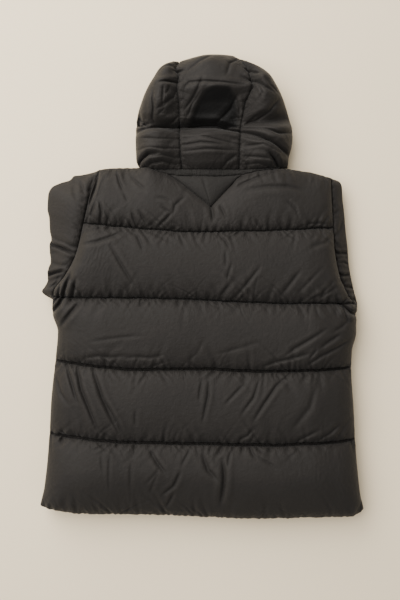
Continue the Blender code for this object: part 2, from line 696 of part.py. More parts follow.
def make_zip():
    """The closed chain up to the chin, with its slider underneath at the top."""
    bottom_y = float(y_at(HEM, np.array(ZIP_X))) + ZIP_ABOVE_HEM
    box("zip_chain", (ZIP_X - ZIP_HALF, bottom_y, ZIP_LOW), (ZIP_X + ZIP_HALF, ZIP_TOP_Y, ZIP_HIGH),
        colour=DULL_NYLON, roughness=0.5)
    half_outline = [(0.42, 0.0), (0.5, 0.35), (0.5, 0.8), (0.3, 1.0)]
    outline = half_outline + [(-across, up) for across, up in half_outline[::-1]]
    foot_y = ZIP_TOP_Y - SLIDER_BELOW_TOP - SLIDER_LENGTH
    plates = [[(ZIP_X + SLIDER_WIDTH * across, foot_y + SLIDER_LENGTH * up, height)
               for across, up in outline] for height in (SLIDER_LOW, ZIP_LOW - GAP)]
    tube("zip_slider", plates, colour=METAL, roughness=0.4, metallic=0.9)


def make_collar(name, side, outer_x):
    """Half of the stand collar under the chin, meeting its neighbour over the zip."""
    columns = [blend(outer_x, ZIP_X, share) for share in COLLAR_ACROSS]
    columns += [ZIP_X + side * (ZIP_HALF + 2.0 * GAP), ZIP_X + side * (ZIP_HALF + GAP),
                ZIP_X + side * GAP / 2.0]
    x = np.array([columns] * len(COLLAR_DOWN))
    bottom = np.interp(x[0], *neck_edge()) + 2.0 * GAP
    y = blend(COLLAR_TOP_Y, bottom[None, :], np.array(COLLAR_DOWN)[:, None])
    edge = np.minimum(side * (outer_x - x), COLLAR_TOP_Y - y)
    low = COLLAR_ROUND * (1.0 - rounding(edge, COLLAR_ROUND))
    low[:, -2:] = np.maximum(low[:, -2:], ZIP_HIGH + GAP)
    slab(name, x, y, low, np.full_like(x, COLLAR_HEIGHT))


# ---- hood ------------------------------------------------------------------------------

def hood_rows():
    return np.array(sorted([row.up for row in HOOD_ROWS] + list(HOOD_EXTRA_ROWS)))


def hood_height(column, rows):
    return through([row.up for row in HOOD_ROWS],
                   [getattr(row, column) for row in HOOD_ROWS], rows)[:, None]


def hood_side(name, outline, seam, lobe_column, seam_column, side):
    rows = hood_rows()
    out_x, out_y = along(outline, rows)
    seam_x, seam_y = along(seam, rows)
    seam_x = seam_x + side * GAP / 2.0
    across = np.array(HOOD_STEPS_ACROSS)[None, :]
    x = blend(out_x[:, None], seam_x[:, None], across)
    y = blend(out_y[:, None], seam_y[:, None], across)
    settle = 1.0 - smooth_step(rows / HOOD_BASE_ROWS)[:, None]
    y = y + (y_at(BAND_TOP, x[0]) + GAP / 2.0 - y[0])[None, :] * settle
    lobe = hood_height(lobe_column, rows)
    sewn = hood_height(seam_column, rows)
    rising = blend(HOOD_EDGE_HEIGHT, lobe, rounding(across, 0.5))
    falling = blend(lobe, sewn, smooth_step(2.0 * across - 1.0))
    high = np.where(across < 0.5, rising, falling)
    width = np.hypot(out_x - seam_x, out_y - seam_y)[:, None]
    low = (HOOD_EDGE_HEIGHT - RIM) * (1.0 - rounding(across * width, HOOD_UNDER_ROUND))
    cut_hood(slab(name, x, y, low, high))


def hood_centre():
    rows = hood_rows()
    left_x, left_y = along(HOOD_SEAM_LEFT, rows)
    right_x, right_y = along(HOOD_SEAM_RIGHT, rows)
    across = np.array(HOOD_STEPS_SEAM)[None, :]
    x = blend((left_x + GAP / 2.0)[:, None], (right_x - GAP / 2.0)[:, None], across)
    y = blend(left_y[:, None], right_y[:, None], across)
    y = y + CROWN_BULGE * rows[:, None] ** CROWN_POWER * hump(across, 1.0)
    left, middle, right = (hood_height(name, rows) for name in
                           ("left_seam", "centre", "right_seam"))
    high = np.where(across < 0.5, blend(left, middle, smooth_step(2.0 * across)),
                    blend(middle, right, smooth_step(2.0 * across - 1.0)))
    low = (HOOD_EDGE_HEIGHT - RIM) * (1.0 - rounding(y[-1] - y, HOOD_UNDER_ROUND))
    cut_hood(slab("hood_centre", x, y, low, high))


def cut_hood(panel):
    for helper in HOOD_CUTTERS:
        combine(panel, helper, 'DIFFERENCE')


def make_hood_cutters():
    """Room for the collar, and the opening for the face, both from underneath."""
    pocket = box("collar_room", (COLLAR_LEFT_X - GAP, GUSSET_TIP.y, ROOM_FLOOR),
                 (COLLAR_RIGHT_X + GAP, COLLAR_TOP_Y + GAP, COLLAR_HEIGHT + GAP))
    rings = []
    for level in FACE_LEVELS:
        shrink = math.sqrt(1.0 - level * level)
        rings.append([(FACE_CENTRE.x + FACE_HALF_WIDTH * shrink * math.cos(angle),
                       FACE_CENTRE.y + FACE_HALF_LENGTH * shrink * math.sin(angle),
                       FACE_DEPTH * level)
                      for angle in np.linspace(0.0, 2.0 * math.pi, FACE_AROUND + 1)[:-1]])
    opening = tube("face_opening", rings)
    return [as_helper(pocket), as_helper(opening)]


clear_scene()
make_back()
make_gusset()
make_neck_band()
left_room = make_sleeve("sleeve_left", SLEEVE_LEFT, FOLD_LEFT, TUCKS_LEFT)
right_room = make_sleeve("sleeve_right", SLEEVE_RIGHT, FOLD_RIGHT, TUCKS_RIGHT)
make_front("front_left", left_room, -1)
make_front("front_right", right_room, 1)
make_cuff("cuff_left", SLEEVE_LEFT)
make_cuff("cuff_right", SLEEVE_RIGHT)
make_zip()
make_collar("collar_left", -1, COLLAR_LEFT_X)
make_collar("collar_right", 1, COLLAR_RIGHT_X)
HOOD_CUTTERS = make_hood_cutters()
hood_side("hood_left", HOOD_LEFT, HOOD_SEAM_LEFT, "left_lobe", "left_seam", -1)
hood_side("hood_right", HOOD_RIGHT, HOOD_SEAM_RIGHT, "right_lobe", "right_seam", 1)
hood_centre()
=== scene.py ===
"""Dresses the hooded puffer jacket, laid out face down with its sleeves folded under it.

Metres, +X to the wearer's right, +Y towards the hood, +Z up from the surface it lies on.
Outlines and creases are listed in millimetres, which mm_line and mm_creases turn into metres.
Each padded panel is a fine grid over its solid's form, over a plain inside; the back, neck
inset, hood and sleeve strips are let out a little and settled as cloth between their sewn lines.
The thread, teeth and tape are added after.
"""
import math
from collections import namedtuple

import bmesh
import bpy
import numpy as np
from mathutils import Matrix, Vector


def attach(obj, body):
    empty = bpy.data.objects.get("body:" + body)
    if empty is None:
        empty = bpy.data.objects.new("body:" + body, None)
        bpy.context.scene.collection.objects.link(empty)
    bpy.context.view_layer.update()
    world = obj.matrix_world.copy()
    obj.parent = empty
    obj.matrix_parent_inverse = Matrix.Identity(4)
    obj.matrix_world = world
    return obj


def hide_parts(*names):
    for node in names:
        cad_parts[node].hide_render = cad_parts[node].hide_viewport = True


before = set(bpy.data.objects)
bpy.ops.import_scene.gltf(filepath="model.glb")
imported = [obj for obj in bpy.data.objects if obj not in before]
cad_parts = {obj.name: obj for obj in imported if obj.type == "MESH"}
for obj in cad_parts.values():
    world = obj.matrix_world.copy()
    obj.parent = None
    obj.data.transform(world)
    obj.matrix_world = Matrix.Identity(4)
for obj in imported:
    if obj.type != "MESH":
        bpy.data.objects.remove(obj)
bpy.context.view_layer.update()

# ---- sizes shared with the solids --------------------------------------------------------

GAP = 0.0003
RIM = 0.003
EDGE_HEIGHT = 0.028
MIDDLE_HEIGHT = 0.046
RISE_REACH = 0.10
SEWN_THICKNESS = 0.006
CHAMBER_FULLNESS = 0.45
ARMHOLE_THICKNESS = 0.012
SIDE_ROUND = 0.045
ARMHOLE_ROUND = 0.030
UNDERSIDE_ROUND = 0.030
GROOVE_DEPTH = 0.007
GROOVE_SHARE = 0.16
NECK_X = 0.024
NECK_HALF = 0.12
SHOULDER_BLEND = 0.06
UNDERARM_Y = -0.035
UNDERARM_BLEND = 0.03
ZIP_X = 0.012
ZIP_HALF = 0.004
ZIP_TOP_Y = 0.281
COLLAR_HEIGHT = 0.0217
COLLAR_LEFT_X = -0.095
COLLAR_RIGHT_X = 0.140
COLLAR_TOP_Y = 0.285
COLLAR_ROUND = 0.008

Point = namedtuple("Point", "x y")


def mm_line(*places):
    """Points in metres from x, y, x, y and so on in millimetres."""
    return [Point(x / 1000.0, y / 1000.0) for x, y in zip(places[::2], places[1::2])]


BODY_LEFT = mm_line(
    -209, 233,  -223, 191,  -238, 126,  -252, 68,  -276, 21,  -299, -9,  -303.5, -52,
    -293, -90,  -298, -147,  -306, -227,  -312, -327,  -320, -400,  -329, -438
)
BODY_RIGHT = mm_line(
    253, 217,  256, 147,  259, 80,  268, 27,  288, -19,  305, -43,  305, -92,  296.5, -130,
    295.5, -165,  300.5, -250,  304.5, -330,  312, -407,  321, -447
)
FOLD_LEFT = mm_line(
    -211.5, 233.5,  -223, 229.5,  -235, 226.5,  -252, 223.5,  -261, 222.5,  -270, 214.5,
    -292, 207,  -307, 199,  -314, 184,  -315.5, 157,  -312, 138,  -310.5, 112,  -307.5, 95,
    -311, 86,  -311, 71,  -308.5, 51,  -313.5, 37,  -315.5, 24,  -314.5, 13,  -321, -1,
    -326.5, -9,  -304.5, -26
)
FOLD_RIGHT = mm_line(
    256.5, 217,  274.5, 209.5,  278, 200,  279, 181,  282.5, 148,  285.5, 112,  289, 81,
    291.5, 47,  295.5, 22,  300.5, -2,  305.5, -22,  308.5, -35,  306, -46
)
NECKLINE = mm_line(
    -206, 233,  -168, 236,  -118, 235,  -88, 225,  -44, 218,  14, 217,  72, 220,  112, 228,
    162, 233,  210, 227,  254, 217
)
QUILT_1 = mm_line(
    -233, 124,  -127, 114,  -8, 107,  130, 109,  256, 116
)
QUILT_2 = mm_line(
    -281, -21,  -115, -23,  -10, -26,  84, -31,  199, -34,  298, -34
)
QUILT_3 = mm_line(
    -298, -148,  -262, -152,  -236, -154.5,  -198, -157.5,  -148, -163,  -9, -162,  126, -167,
    233, -164,  292, -161
)
QUILT_4 = mm_line(
    -306, -294,  -263, -297,  -233, -300,  -181, -305,  -9, -309,  137, -312,  206, -310,
    300, -306
)
HEM = mm_line(
    -329, -438,  -308, -445,  -248, -453,  -108, -455,  -8, -459,  92, -463,  192, -461,
    292, -459,  321, -447
)
QUILTING = [QUILT_1, QUILT_2, QUILT_3, QUILT_4]
SEWN_LINES = [NECKLINE, *QUILTING, HEM]
LOFTS = (0.028, 0.036, 0.036, 0.034, 0.036)
CHAMBERS = len(LOFTS)
PLAN_ROUNDS = 12

GUSSET_XS = (-0.066, 0.072)
GUSSET_TIP = Point(0.0135, 0.1565)
GUSSET_THICKNESS = 0.013
GUSSET_PUFF = 0.010
GUSSET_DIP = 0.40
GUSSET_DIP_REACH = 0.030
BAND_TOP = mm_line(
    -116, 237,  -100, 231.5,  -44, 232,  14, 232,  72, 231.5,  142, 235,  164, 238
)
BAND_LEFT_X = -0.098
BAND_RIGHT_X = 0.150
BAND_HEIGHT = 0.055
BAND_PUFF = 0.003

HOOD_LEFT = mm_line(
    -129, 240,  -135.5, 253,  -137, 293,  -134.5, 333,  -123.5, 373,  -102.5, 413,
    -88.5, 434.5,  -54, 451.5
)
HOOD_RIGHT = mm_line(
    168, 238.5,  169.5, 253,  177.5, 293,  176.5, 315,  172, 333,  158, 373,  137, 411,
    118, 430.5,  89, 443.5,  63, 459
)
HOOD_SEAM_LEFT = mm_line(
    -43, 232.5,  -46, 255,  -48, 300,  -49, 357,  -53, 387,  -50, 412,  -56, 429,  -49, 450.5
)
HOOD_SEAM_RIGHT = mm_line(
    70, 232.5,  70, 255,  72, 300,  74.5, 325,  78.5, 345,  81.5, 362,  89.5, 378,  94.5, 391,
    90, 412,  82, 433,  62, 461
)
CROWN_BULGE = 0.007
CROWN_POWER = 6
HOOD_EDGE_HEIGHT = 0.030
HOOD_UNDER_ROUND = 0.030
HOOD_BASE_ROWS = 0.16
HOOD_HEIGHTS = np.array([       # share up the hood, then heights across it in millimetres
    (0.00, 55, 50, 54, 50, 55), (0.06, 74, 60, 72, 60, 74), (0.16, 86, 70, 84, 70, 84),
    (0.27, 84, 68, 82, 68, 82), (0.36, 62, 50, 52, 50, 60), (0.44, 83, 61, 58, 58, 84),
    (0.56, 94, 71, 68, 66, 96), (0.68, 93, 77, 88, 76, 94), (0.76, 84, 74, 84, 74, 82),
    (0.86, 76, 66, 80, 66, 70), (0.95, 56, 52, 67, 52, 48), (1.00, 34, 34, 40, 36, 30),
]).T
LEFT_LOBE, LEFT_SEAM, CENTRE, RIGHT_SEAM, RIGHT_LOBE = HOOD_HEIGHTS[1:] / 1000.0
FACE_CENTRE = Point(0.020, 0.350)
FACE_HALF_WIDTH = 0.085
FACE_HALF_LENGTH = 0.078
FACE_DEPTH = 0.030

SleeveSize = namedtuple("SleeveSize", "side start_x start_y down_x cuff_y")
SLEEVE_LEFT = SleeveSize(-1, -0.272, 0.098, -0.128, -0.300)
SLEEVE_RIGHT = SleeveSize(1, 0.262, 0.088, 0.150, -0.312)
SLEEVE_TURN = 0.115
SLEEVE_THIN = 0.023
SLEEVE_FLAT = 0.032
SLEEVE_TOP_WIDTH = 0.176
SLEEVE_CUFF_WIDTH = 0.128
SLEEVE_CHAMBERS = 5
SLEEVE_NIP = 0.006
SLEEVE_NIP_POWER = 6
THIN_SHARE = 0.25
RING_SQUARENESS = 0.75
RING_MIDDLE = 0.46
STRIP_PUFF = 0.20
STRIP_END = 0.001
TUCKS_LEFT = (0.074, 0.026)
TUCKS_RIGHT = (0.066, 0.000)
TUCK_DEPTH = 0.45
TUCK_WIDTH = 0.012
CUFF_LENGTH = 0.028
CUFF_WIDTH = 0.106
CUFF_THICKNESS = 0.022


# ---- numbers -----------------------------------------------------------------------------

def smooth_step(share):
    """0 to 1 with level ends."""
    share = np.clip(share, 0.0, 1.0)
    return share * share * (3.0 - 2.0 * share)


def rounding(distance, reach):
    """A quarter ellipse: 0 at the edge, 1 from `reach` inwards."""
    short = 1.0 - np.clip(distance / reach, 0.0, 1.0)
    return np.sqrt(1.0 - short * short)


def hump(share, power=0.5):
    """0 at both ends, 1 in the middle."""
    return np.clip(4.0 * share * (1.0 - share), 0.0, 1.0) ** power


def near(distance, reach):
    """1 on a line, fading to nothing about twice `reach` from it."""
    return np.exp(-(distance / reach) ** 2)


def blend(start, end, share):
    return start + (end - start) * share


def through(known, values, wanted):
    """A smooth curve through the values at the known places, without overshoot."""
    known, values = np.asarray(known, float), np.asarray(values, float)
    if known[0] > known[-1]:
        known, values = known[::-1], values[::-1]
    steps = np.diff(known)
    rates = np.diff(values) / steps
    product = rates[:-1] * rates[1:]
    total = rates[:-1] + rates[1:]
    inner = np.where(product > 0.0, 2.0 * product / np.where(product > 0.0, total, 1.0), 0.0)
    slopes = np.concatenate([rates[:1], inner, rates[-1:]])
    wanted = np.clip(wanted, known[0], known[-1])
    cell = np.clip(np.searchsorted(known, wanted, side="right") - 1, 0, len(steps) - 1)
    width = steps[cell]
    share = (wanted - known[cell]) / width
    hold, leave = 1.0 - share, share * share * (3.0 - 2.0 * share)
    return (values[cell] * (1.0 - leave) + values[cell + 1] * leave
            + width * share * hold * (hold * slopes[cell] - share * slopes[cell + 1]))


def x_at(line, y):
    return through([point.y for point in line], [point.x for point in line], y)


def y_at(line, x):
    return through([point.x for point in line], [point.y for point in line], x)


def running(steps):
    """The running total of steps, from 0."""
    return np.concatenate([[0.0], np.cumsum(steps)])


def along(line, share):
    """The points at shares of a line's length, as a column of x and one of y."""
    xs, ys = np.array(line).T
    run = running(np.hypot(np.diff(xs), np.diff(ys)))
    run = run / run[-1]
    return through(run, xs, share)[:, None], through(run, ys, share)[:, None]


def off_segment(x, y, start, end):
    """Distance from the straight line between two points, and the share along it."""
    run = np.array([end.x - start.x, end.y - start.y])
    share = np.clip(((x - start.x) * run[0] + (y - start.y) * run[1]) / run.dot(run), 0.0, 1.0)
    return np.hypot(x - start.x - share * run[0], y - start.y - share * run[1]), share


LUMPS = 64                 # across a ripple's table of random heights


def ripple(seed, x, y, pitch, octaves=2):
    """Smooth seeded lumps about `pitch` apart, from -1 to 1."""
    rng = np.random.default_rng(seed)
    total, weight = np.zeros_like(x), 0.0
    for octave in range(octaves):
        table = rng.uniform(-1.0, 1.0, (LUMPS, LUMPS))
        across, up = x / pitch + LUMPS / 2.0, y / pitch + LUMPS / 2.0
        left, low = np.floor(across).astype(int), np.floor(up).astype(int)
        part_x, part_y = smooth_step(across - left), smooth_step(up - low)
        corner = [table[(low + j) % LUMPS, (left + i) % LUMPS] for j in (0, 1) for i in (0, 1)]
        total += blend(blend(corner[0], corner[1], part_x),
                       blend(corner[2], corner[3], part_x), part_y) * 0.5 ** octave
        weight += 0.5 ** octave
        pitch *= 0.5
    return total / weight


def surface(x, y, z):
    """A grid of points from its x, y and z, spread to one shape."""
    return np.stack(np.broadcast_arrays(x, y, z), axis=-1)


def mirrored(grids, when):
    """The same grids with their columns turned round when asked."""
    return [grid[:, ::-1] for grid in np.broadcast_arrays(*grids)] if when else grids


# ---- plan and heights of the body --------------------------------------------------------

def body_left(y):
    return x_at(BODY_LEFT, y)


def body_right(y):
    return x_at(BODY_RIGHT, y)


def neck_y(x):
    return y_at(NECKLINE, x)


def chamber_of(rows):
    return np.minimum(rows.astype(int), CHAMBERS - 1)


def body_plan(left_line, right_line, rows, shares):
    """x, y of each row and column between two lines that run down the body."""
    rows, shares = rows[:, None], shares[None, :]
    chamber = chamber_of(rows)
    row, column = np.arange(rows.size)[:, None], np.arange(shares.size)[None, :]
    x = np.zeros((rows.size, shares.size))
    for _ in range(PLAN_ROUNDS):
        lines = np.array([y_at(line, x) for line in SEWN_LINES])
        y = blend(lines[chamber, row, column], lines[chamber + 1, row, column], rows - chamber)
        x = blend(left_line(y), right_line(y), shares)
    return x, y


def outline(y, fold, body_line, outer):
    """The outer of the sleeve's fold and the body's edge, down to the fold's end."""
    edge = body_line(y)
    return np.where(y > fold[-1].y, outer(x_at(fold, y), edge), edge)


def shoulder_share(x):
    return smooth_step((np.abs(x - NECK_X) - NECK_HALF) / SHOULDER_BLEND)


def mid_height(x, y):
    """The height at which the back lies on the fronts."""
    top = smooth_step((neck_y(x) - y) / RISE_REACH)
    left = outline(y, FOLD_LEFT, body_left, np.minimum)
    right = outline(y, FOLD_RIGHT, body_right, np.maximum)
    inside = smooth_step((x - left) / RISE_REACH)
    inside = inside * smooth_step((right - x) / RISE_REACH)
    inside = inside * smooth_step((y - y_at(HEM, x)) / RISE_REACH)
    inside = inside * blend(1.0, top, shoulder_share(x))
    return blend(EDGE_HEIGHT, MIDDLE_HEIGHT, inside)


GUSSET_LEFT, GUSSET_RIGHT = (Point(x, float(neck_y(x))) for x in GUSSET_XS)


def to_gusset(x, y):
    """Distance from the two sewn edges of the V."""
    return np.minimum(off_segment(x, y, GUSSET_LEFT, GUSSET_TIP)[0],
                      off_segment(x, y, GUSSET_RIGHT, GUSSET_TIP)[0])


def inside_gusset(x, y):
    """How far a place lies inside the V, and less than 0 outside it."""
    share = (y - GUSSET_TIP.y) / (GUSSET_LEFT.y - GUSSET_TIP.y)
    return np.minimum(x - blend(GUSSET_TIP.x, GUSSET_LEFT.x, share),
                      blend(GUSSET_TIP.x, GUSSET_RIGHT.x, share) - x)


def back_thickness(x, y, rows):
    """Padding that swells between the sewn lines and thins out at the panel's edges."""
    chamber = chamber_of(rows)
    swell = np.array(LOFTS)[chamber] * hump(rows - chamber, CHAMBER_FULLNESS)
    side = smooth_step((UNDERARM_Y - y) / UNDERARM_BLEND)
    edge = blend(ARMHOLE_THICKNESS, RIM, side)
    reach = blend(ARMHOLE_ROUND, SIDE_ROUND, side)
    inwards = np.minimum(x - body_left(y), body_right(y) - x)
    dip = GUSSET_DIP * near(to_gusset(x, y), GUSSET_DIP_REACH)
    full = SEWN_THICKNESS + swell[:, None] * (1.0 - dip)
    return edge + np.maximum(full - edge, 0.0) * rounding(inwards, reach)


# ---- cloth -------------------------------------------------------------------------------

PLAIN, SEWN = 1.0, 0.0     # how freely a point of the cloth may move
NEAR_LINK, DIAGONAL_LINK, BEND_LINK = 1.0, 0.45, 0.22      # stiffness
DRIFT_KEPT = 0.90
ROUNDS = (60, 45, 36)      # of settling, on a coarse, a middle and the fine grid
LET_OUT = (0.9, 1.0, 0.9)
JITTER_PITCH = 0.0045      # of the seeded unevenness that starts the folds, on the fine grid
JITTER_SIZE = 0.0005
JITTER_GROWTH = 0.6        # how it grows with the step of a coarser grid
TINY, NO_SQUARE, NO_AREA = 1e-9, 1e-10, 1e-12      # keep divisions and roots in bounds


def free_cloth(shape, rows=(0, -1), columns=(0, -1)):
    """How freely each point of a grid may move: not at all in its sewn rows and columns."""
    free = np.full(shape, PLAIN)
    free[rows if isinstance(rows, slice) else list(rows)] = SEWN
    free[:, list(columns)] = SEWN
    return free


def length_of(links):
    return np.linalg.norm(links, axis=-1)


def spread(field, rounds=1):
    """Averages a grid with its neighbours."""
    for _ in range(rounds):
        wide = np.pad(field, [(1, 1), (1, 1)] + [(0, 0)] * (field.ndim - 2), mode="edge")
        beside = wide[:-2, 1:-1] + wide[2:, 1:-1] + wide[1:-1, :-2] + wide[1:-1, 2:]
        corners = wide[:-2, :-2] + wide[:-2, 2:] + wide[2:, :-2] + wide[2:, 2:]
        field = (4.0 * field + 2.0 * beside + corners) / 16.0
    return field


def outward(points):
    """The unit normal at each point of a grid whose rows run down and columns right."""
    facing = np.cross(np.gradient(points, axis=0), np.gradient(points, axis=1))
    return facing / np.maximum(length_of(facing)[..., None], NO_AREA)


def refined(field, rows, columns):
    """A grid field at twice the points each way, through the same values."""
    for axis, count in ((0, rows), (1, columns)):
        field = np.moveaxis(field, axis, 0)
        fine = np.empty((count,) + field.shape[1:])
        fine[::2] = field
        ahead = np.concatenate([field[1:], field[-1:]])
        behind = np.concatenate([field[:1], field[:-1]])
        two_ahead = np.concatenate([field[2:], field[-1:], field[-1:]])
        fine[1::2] = ((9.0 * (field + ahead) - behind - two_ahead) / 16.0)[:-1]
        field = np.moveaxis(fine, 0, axis)
    return field


def link_families(rows, columns):
    """Neighbour links of a grid, in families that share no point, with their stiffness."""
    families = []

    def add_straight(across, down, reach, stiff):
        step = 2 * reach
        for k in range(step):
            families.append((across, np.s_[:, k:columns - reach:step],
                             np.s_[:, k + reach:columns:step], np.s_[:, k::step], stiff))
            families.append((down, np.s_[k:rows - reach:step, :],
                             np.s_[k + reach:rows:step, :], np.s_[k::step, :], stiff))

    add_straight("across", "down", 1, NEAR_LINK)
    for k in (0, 1):
        families.append(("falling", np.s_[k:rows - 1:2, :columns - 1], np.s_[k + 1:rows:2, 1:],
                         np.s_[k::2, :], DIAGONAL_LINK))
        families.append(("rising", np.s_[k:rows - 1:2, 1:], np.s_[k + 1:rows:2, :columns - 1],
                         np.s_[k::2, :], DIAGONAL_LINK))
    add_straight("across_two", "down_two", 2, BEND_LINK)
    return families


def cut_lengths(form, spare_across, spare_down, skew):
    """The lengths the cloth is cut to: its form's own, let out and pulled askew a little."""
    right, down = np.diff(form, axis=1), np.diff(form, axis=0)
    run_right, run_down = length_of(right), length_of(down)
    across = run_right * (1.0 + (spare_across[:, 1:] + spare_across[:, :-1]) / 2.0)
    fall = run_down * (1.0 + (spare_down[1:] + spare_down[:-1]) / 2.0)
    wide, tall = (across[:-1] + across[1:]) / 2.0, (fall[:, :-1] + fall[:, 1:]) / 2.0
    own = (run_right[:-1] + run_right[1:]) / 2.0 * (run_down[:, :-1] + run_down[:, 1:]) / 2.0
    lean = (right[:-1] * down[:, :-1]).sum(axis=-1) / np.maximum(own, NO_AREA)
    lean = 2.0 * ((lean + spread(skew)[1:, 1:]) * wide * tall)
    return {
        "across": across, "down": fall,
        "falling": np.sqrt(np.maximum(wide ** 2 + tall ** 2 + lean, NO_SQUARE)),
        "rising": np.sqrt(np.maximum(wide ** 2 + tall ** 2 - lean, NO_SQUARE)),
        "across_two": across[:, 1:] + across[:, :-1], "down_two": fall[1:] + fall[:-1],
    }


def relax(form, start, lengths, free, rounds, push, hold):
    """Puffs the cloth from its padding and shortens or stretches its links to their cut."""
    points, before = start.copy(), start.copy()
    families = link_families(*free.shape)
    loose = free[..., None]
    for _ in range(rounds):
        drift = (points - before) * DRIFT_KEPT
        before = points.copy()
        facing = outward(points)
        points = points + (drift + facing * push) * loose
        off = ((points - form) * facing).sum(axis=-1, keepdims=True)
        points -= facing * off * hold * loose
        for kind, one, other, part, stiff in families:
            gap = points[other] - points[one]
            length = np.sqrt((gap * gap).sum(axis=-1, keepdims=True))
            give_one, give_other = loose[one], loose[other]
            share = stiff * (1.0 - lengths[kind][part][..., None] / np.maximum(length, TINY))
            gap *= share / np.maximum(give_one + give_other, TINY)
            points[one] += gap * give_one
            points[other] -= gap * give_other
    return points


def settle(form, free, spare_across, spare_down, skew, seed, push=0.00006, hold=0.05,
           reach=0.009):
    """Settles cloth over its form: the broad folds first, then finer and finer ones."""
    spare_across, spare_down, skew = (np.broadcast_to(field, free.shape)
                                      for field in (spare_across, spare_down, skew))
    step, moved = 2 ** (len(ROUNDS) - 1), None
    for level, (count, let_out) in enumerate(zip(ROUNDS, LET_OUT)):
        part = np.s_[::step, ::step]
        coarse, loose = form[part], free[part]
        moved = np.zeros_like(coarse) if moved is None else refined(moved, *loose.shape)
        jitter = ripple(seed + level, coarse[..., 0], coarse[..., 1], JITTER_PITCH * step)
        nudge = outward(coarse) * jitter[..., None] * (JITTER_SIZE * step ** JITTER_GROWTH)
        lengths = cut_lengths(coarse, spare_across[part] * let_out,
                              spare_down[part] * let_out, skew[part])
        settled = relax(coarse, coarse + (moved + nudge) * loose[..., None], lengths, loose,
                        count, push * step, hold)
        moved = spread(settled - coarse) * loose[..., None]
        far = length_of(moved)[..., None]
        moved *= reach * np.tanh(far / reach) / np.maximum(far, TINY)
        step //= 2
    return form + moved


# ---- closed meshes -----------------------------------------------------------------------

def add_object(name, mesh):
    item = bpy.data.objects.new(name, mesh)
    bpy.context.collection.objects.link(item)
    return item


def cloth_mesh(name, points, faces, cloth_map, marks, shape):
    """A smooth mesh with a UV map in metres and, at its grid's points, named numbers."""
    mesh = bpy.data.meshes.new(name)
    mesh.from_pydata(points.tolist(), [], faces)
    for label, values in marks.items():
        full = np.zeros(len(points), dtype=np.float32)
        full[:shape[0] * shape[1]] = np.broadcast_to(values, shape).reshape(-1)
        mesh.attributes.new(label, 'FLOAT', 'POINT').data.foreach_set("value", full)
    corner = np.empty(len(mesh.loops), dtype=np.int32)
    mesh.loops.foreach_get("vertex_index", corner)
    mesh.uv_layers.new(name="cloth").data.foreach_set(
        "uv", cloth_map[corner].reshape(-1).astype(np.float32))
    mesh.shade_smooth()
    return mesh


def unrolled(grid):
    """Running lengths across and down a grid, as the two fields of a map in metres."""
    return np.meshgrid(running(length_of(np.diff(grid, axis=1)).mean(axis=0)),
                       running(length_of(np.diff(grid, axis=0)).mean(axis=1)))


def edge_loop(rows, columns):
    """Row and column of each point round a grid's edge, in order."""
    loop = [(0, c) for c in range(columns)] + [(r, columns - 1) for r in range(1, rows)]
    loop += [(rows - 1, c) for c in range(columns - 2, -1, -1)]
    return loop + [(r, 0) for r in range(rows - 2, 0, -1)]


def kept(count, step):
    """Every step-th index of a count, with the last."""
    return sorted(set(range(0, count, step)) | {count - 1})


def padded_piece(name, outside, inside, marks, row_step=12, column_step=12):
    """A closed shell: a fine outside, and a plain inside that keeps only some of its points.

    The plain inside takes its plan as its map.
    """
    rows, columns = outside.shape[:2]
    few_rows, few_columns = kept(rows, row_step), kept(columns, column_step)
    outer = np.arange(rows * columns).reshape(rows, columns)
    inner = np.arange(len(few_rows) * len(few_columns)).reshape(len(few_rows), -1)
    inner = inner + outer.size
    points = np.vstack([outside.reshape(-1, 3),
                        inside[np.ix_(few_rows, few_columns)].reshape(-1, 3)])
    quads = np.stack([outer[:-1, :-1], outer[1:, :-1], outer[1:, 1:], outer[:-1, 1:]], axis=-1)
    under = np.stack([inner[:-1, :-1], inner[:-1, 1:], inner[1:, 1:], inner[1:, :-1]], axis=-1)
    faces = quads.reshape(-1, 4).tolist() + under.reshape(-1, 4).tolist()
    inner_at = {(r, c): int(inner[i, j]) for i, r in enumerate(few_rows)
                for j, c in enumerate(few_columns)}
    loop = edge_loop(rows, columns)
    stops = [place for place, cell in enumerate(loop) if cell in inner_at]
    for start, end in zip(stops, stops[1:] + [len(loop)]):
        here, there = inner_at[loop[start]], inner_at[loop[end % len(loop)]]
        half = (start + end) // 2
        ring = [int(outer[loop[place % len(loop)]]) for place in range(start, end + 1)]
        for place, (one, other) in enumerate(zip(ring, ring[1:]), start):
            faces.append((one, other, here if place < half else there))
        faces.append((ring[half - start], there, here))
    cloth_map = points[:, :2].copy()
    across, down = unrolled(outside)
    cloth_map[:outer.size, 0] = across.reshape(-1)
    cloth_map[:outer.size, 1] = -down.reshape(-1)
    return add_object(name, cloth_mesh(name, points, faces, cloth_map, marks, (rows, columns)))


def tube_piece(name, rings, marks):
    """A closed tube through rings of points, each end closed by a fan."""
    count, around = rings.shape[:2]
    points = np.vstack([rings.reshape(-1, 3), rings[0].mean(axis=0), rings[-1].mean(axis=0)])
    faces = []
    for ring in range(count - 1):
        for step in range(around):
            here, there = ring * around + step, ring * around + (step + 1) % around
            faces.append((here, there, there + around, here + around))
    first, last = count * around, (count - 1) * around
    for step in range(around):
        after = (step + 1) % around
        faces.append((after, step, first))
        faces.append((last + step, last + after, first + 1))
    cloth_map = np.zeros((len(points), 2))
    cloth_map[:-2] = np.stack(unrolled(rings), axis=-1).reshape(-1, 2)
    mesh = cloth_mesh(name, points, faces, cloth_map, marks, (count, around))
    shell = bmesh.new()
    shell.from_mesh(mesh)
    bmesh.ops.recalc_face_normals(shell, faces=shell.faces)
    shell.to_mesh(mesh)
    shell.free()
    return add_object(name, mesh)


PROUD_GAIN = 700.0         # of the painted light and shade, to each metre that the cloth stands out of its surroundings
SHADE_LOSS = 0.45          # of the proud tone, in full shade
SEWN_REACH = 0.006
GATHERED_REACH = 0.014


